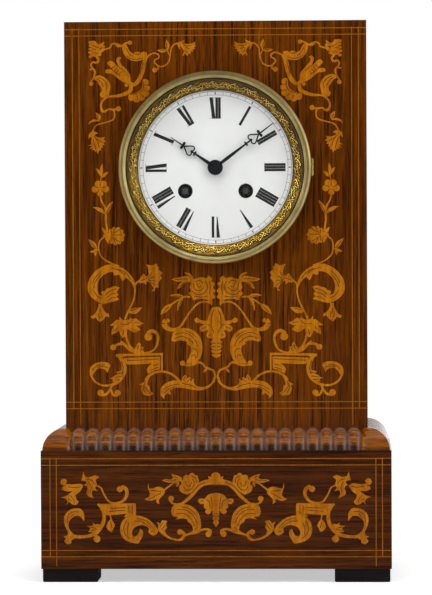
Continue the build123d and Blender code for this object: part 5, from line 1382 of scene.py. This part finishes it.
def moulding_run(start, end, first, count, mitre_end, place):
    """A closed quarter-round run with ribs, mitred at its start and, where asked, at its end."""
    spots = [(start, -share) for share in mitre_shares[::-1]]
    steps = rib_steps * count
    ribs = [first + rib_pitch * count * step / steps for step in range(steps + 1)]
    spots += [(start + (first - start) * share / 4, 0.0) for share in range(4)]
    spots += [(along, 0.0) for along in ribs]
    spots += [(ribs[-1] + (end - ribs[-1]) * share / 4, 0.0) for share in range(1, 5)]
    if mitre_end:
        spots += [(end, share) for share in mitre_shares]
    rows = curve_steps + 2
    clear_selection()
    bpy.ops.mesh.primitive_grid_add(x_subdivisions=len(spots) - 1, y_subdivisions=rows, size=2.0)
    run = bpy.context.object
    for vertex in run.data.vertices:
        along, mitre = spots[round((vertex.co.x + 1) / 2 * (len(spots) - 1))]
        row = round((vertex.co.y + 1) / 2 * rows)
        radius = rib_swell(along, first, count) if mitre == 0 else moulding_radius
        angle = quarter * (row - 1) / curve_steps
        away = radius * math.cos(angle) if 0 < row < rows else 0.0
        rise = radius * math.sin(angle) if 0 < row < rows else 0.0
        vertex.co = Vector(place(along + mitre * away, away, plinth_top + rise)) * mm
    bpy.ops.object.mode_set(mode="EDIT")
    bpy.ops.mesh.select_all(action="SELECT")
    bpy.ops.mesh.remove_doubles(threshold=0.000002)
    bpy.ops.mesh.fill_holes(sides=0)
    bpy.ops.mesh.normals_make_consistent(inside=False)
    bpy.ops.object.mode_set(mode="OBJECT")
    bpy.ops.object.shade_smooth_by_angle(angle=smooth_angle)
    return run


def lay_mouldings():
    length = front_ribs * rib_pitch
    front = moulding_run(-case_half, case_half, -length / 2, front_ribs, True,
                         lambda along, away, z: (along, body_front - away, z))
    settle(front, "front_ribbed_moulding", moulding_across, "case")
    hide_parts("moulding_front")
    sides = []
    for side in (1, -1):
        sides.append(moulding_run(body_front, case_back, side_rib_first, side_ribs, False,
                                  lambda along, away, z: (side * (case_half + away), along, z)))
    both = settle(join(sides), "side_ribbed_mouldings", moulding_deepwise, "case")
    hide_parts("side_mouldings")


lay_mouldings()


# Winding hole shade: dark collars as painted shade inside the holes

hole_radius = 4.88
hole_floor_radius = 2.7
hole_depth = 3.4
hole_wall = 0.25
hole_floor = 0.6


def darken_winding_holes():
    """A blackened collar in each winding hole, as painted shade for its dark inside, with a floor that the
    winding square comes through.
    """
    for arbor in ("time_winding_arbor", "strike_winding_arbor"):
        low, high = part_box(arbor)
        x = (low.x + high.x) / 2
        z = (low.z + high.z) / 2
        mouth = dial_face(x / mm, z / mm) * mm
        clear_selection()
        bpy.ops.mesh.primitive_cylinder_add(
            vertices=48, radius=hole_radius * mm, depth=hole_depth * mm, end_fill_type="NGON",
            location=(x, mouth + hole_depth * mm / 2, z), rotation=(quarter, 0, 0))
        bpy.ops.object.transform_apply(location=True, rotation=True, scale=True)
        collar = bpy.context.object
        bpy.ops.object.mode_set(mode="EDIT")
        bpy.ops.mesh.select_mode(type="FACE")
        bpy.ops.mesh.select_all(action="DESELECT")
        bpy.ops.object.mode_set(mode="OBJECT")
        for face in collar.data.polygons:
            face.select = abs(face.normal.y) > 0.5
        bpy.ops.object.mode_set(mode="EDIT")
        bpy.ops.mesh.inset(thickness=(hole_radius - hole_floor_radius) * mm, use_individual=True)
        bpy.ops.mesh.bridge_edge_loops()
        bpy.ops.object.mode_set(mode="OBJECT")
        for face in collar.data.polygons:
            face.select = face.normal.y < -0.5
        bpy.ops.object.mode_set(mode="EDIT")
        bpy.ops.mesh.inset(thickness=hole_wall * mm)
        bpy.ops.transform.translate(value=(0, (hole_depth - hole_floor) * mm, 0))
        bpy.ops.mesh.select_all(action="SELECT")
        bpy.ops.mesh.normals_make_consistent(inside=False)
        bpy.ops.object.mode_set(mode="OBJECT")
        bpy.ops.object.shade_smooth_by_angle(angle=smooth_angle)
        # Painted shade: the collar is blackened steel so that each hole reads dark inside
        settle(collar, arbor.replace("_arbor", "_hole_shade_collar"), blackened_steel, "case")


darken_winding_holes()


# Floor, light and camera

def studio():
    clear_selection()
    bpy.ops.mesh.primitive_plane_add(size=8.0, location=(0, 0, -0.0002))
    floor = bpy.context.object
    floor.name = "studio_floor"
    material, bench, shader, coordinates = new_material("studio_floor")
    cloud = bench.noise(coordinates, 3.0, 2.0)
    bench.feed(bench.tint(cloud, (0.86, 0.86, 0.86, 1), (0.84, 0.84, 0.84, 1)), shader.inputs["Base Color"])
    shader.inputs["Roughness"].default_value = 0.9
    shader.inputs["Specular IOR Level"].default_value = 0.1
    path = bench.add("LightPath")
    shader.inputs["Emission Color"].default_value = (1, 1, 1, 1)
    glow = bench.math("MULTIPLY", path.outputs["Is Camera Ray"], 0.52)
    bench.feed(glow, shader.inputs["Emission Strength"])
    reach = bench.add("VectorMath", Vector=coordinates)
    reach.operation = "LENGTH"
    far = bench.ramp(reach.outputs["Value"], 0.3, 0.9, 0.0, 1.0)
    white = bench.add("Emission", Color=(1, 1, 1, 1), Strength=1.0)
    mixed = bench.add("MixShader")
    bench.feed(bench.math("MULTIPLY", far, path.outputs["Is Camera Ray"]), mixed.inputs[0])
    bench.feed(shader.outputs[0], mixed.inputs[1])
    bench.feed(white.outputs[0], mixed.inputs[2])
    bench.feed(mixed.outputs[0], material.node_tree.nodes["Material Output"].inputs["Surface"])
    floor.data.materials.append(material)

    world = bpy.data.worlds.new("studio")
    bpy.context.scene.world = world
    world.use_nodes = True
    bench = Bench(world.node_tree)
    plain = world.node_tree.nodes["Background"]
    plain.inputs["Color"].default_value = (1, 1, 1, 1)
    path = bench.add("LightPath")
    side = bench.add("SeparateXYZ", Vector=bench.add("TexCoord").outputs["Generated"])
    bright = bench.ramp(side.outputs["X"], -0.5, 0.5, 0.75, 1.6)
    beside = bench.ramp(side.outputs["Y"], -0.9, -0.4, 0.1, bright)
    overhead = bench.ramp(side.outputs["Z"], 0.25, 0.7, 1.0, 0.3)
    behind = bench.math("MULTIPLY", beside, overhead)
    seen = bench.math("MAXIMUM", path.outputs["Is Camera Ray"], path.outputs["Is Transmission Ray"])
    glossy = path.outputs["Is Glossy Ray"]
    mirrored = bench.math("MULTIPLY", glossy, behind)
    ambient = bench.math("MULTIPLY", bench.math("SUBTRACT", 1.0, glossy), 0.17)
    strength = bench.math("MAXIMUM", seen, bench.math("ADD", mirrored, ambient))
    bench.feed(strength, plain.inputs["Strength"])

    target = Vector((0.0, 0.0, 0.2))
    for name, place, size, power in (
            ("left_softbox", (-1.25, -1.1, 0.95), 0.9, 5.9),
            ("right_softbox", (1.2, -1.1, 0.9), 0.9, 6.3),
            ("top_softbox", (0.0, -0.55, 1.5), 0.9, 11.0),
            ("back_softbox", (0.3, 1.5, 1.1), 1.0, 9.0)):
        lamp = bpy.data.lights.new(name, "AREA")
        lamp.size = size
        lamp.energy = power
        holder = bpy.data.objects.new(name, lamp)
        holder.location = place
        holder.visible_glossy = False
        holder.rotation_euler = (target - Vector(place)).to_track_quat("-Z", "Y").to_euler()
        bpy.context.scene.collection.objects.link(holder)

    seen_by = bpy.data.cameras.new("photograph")
    seen_by.sensor_fit = "HORIZONTAL"
    seen_by.sensor_width = sensor_width
    seen_by.lens = focal_px / photo_width * sensor_width
    seen_by.clip_start = 0.05
    seen_by.clip_end = 50.0
    camera = bpy.data.objects.new("photograph", seen_by)
    axes = Matrix((camera_right, camera_up, -forward)).transposed().to_4x4()
    camera.matrix_world = Matrix.Translation(camera_place * mm) @ axes
    bpy.context.scene.collection.objects.link(camera)
    bpy.context.scene.camera = camera
    bpy.context.scene.view_settings.view_transform = "Standard"


studio()
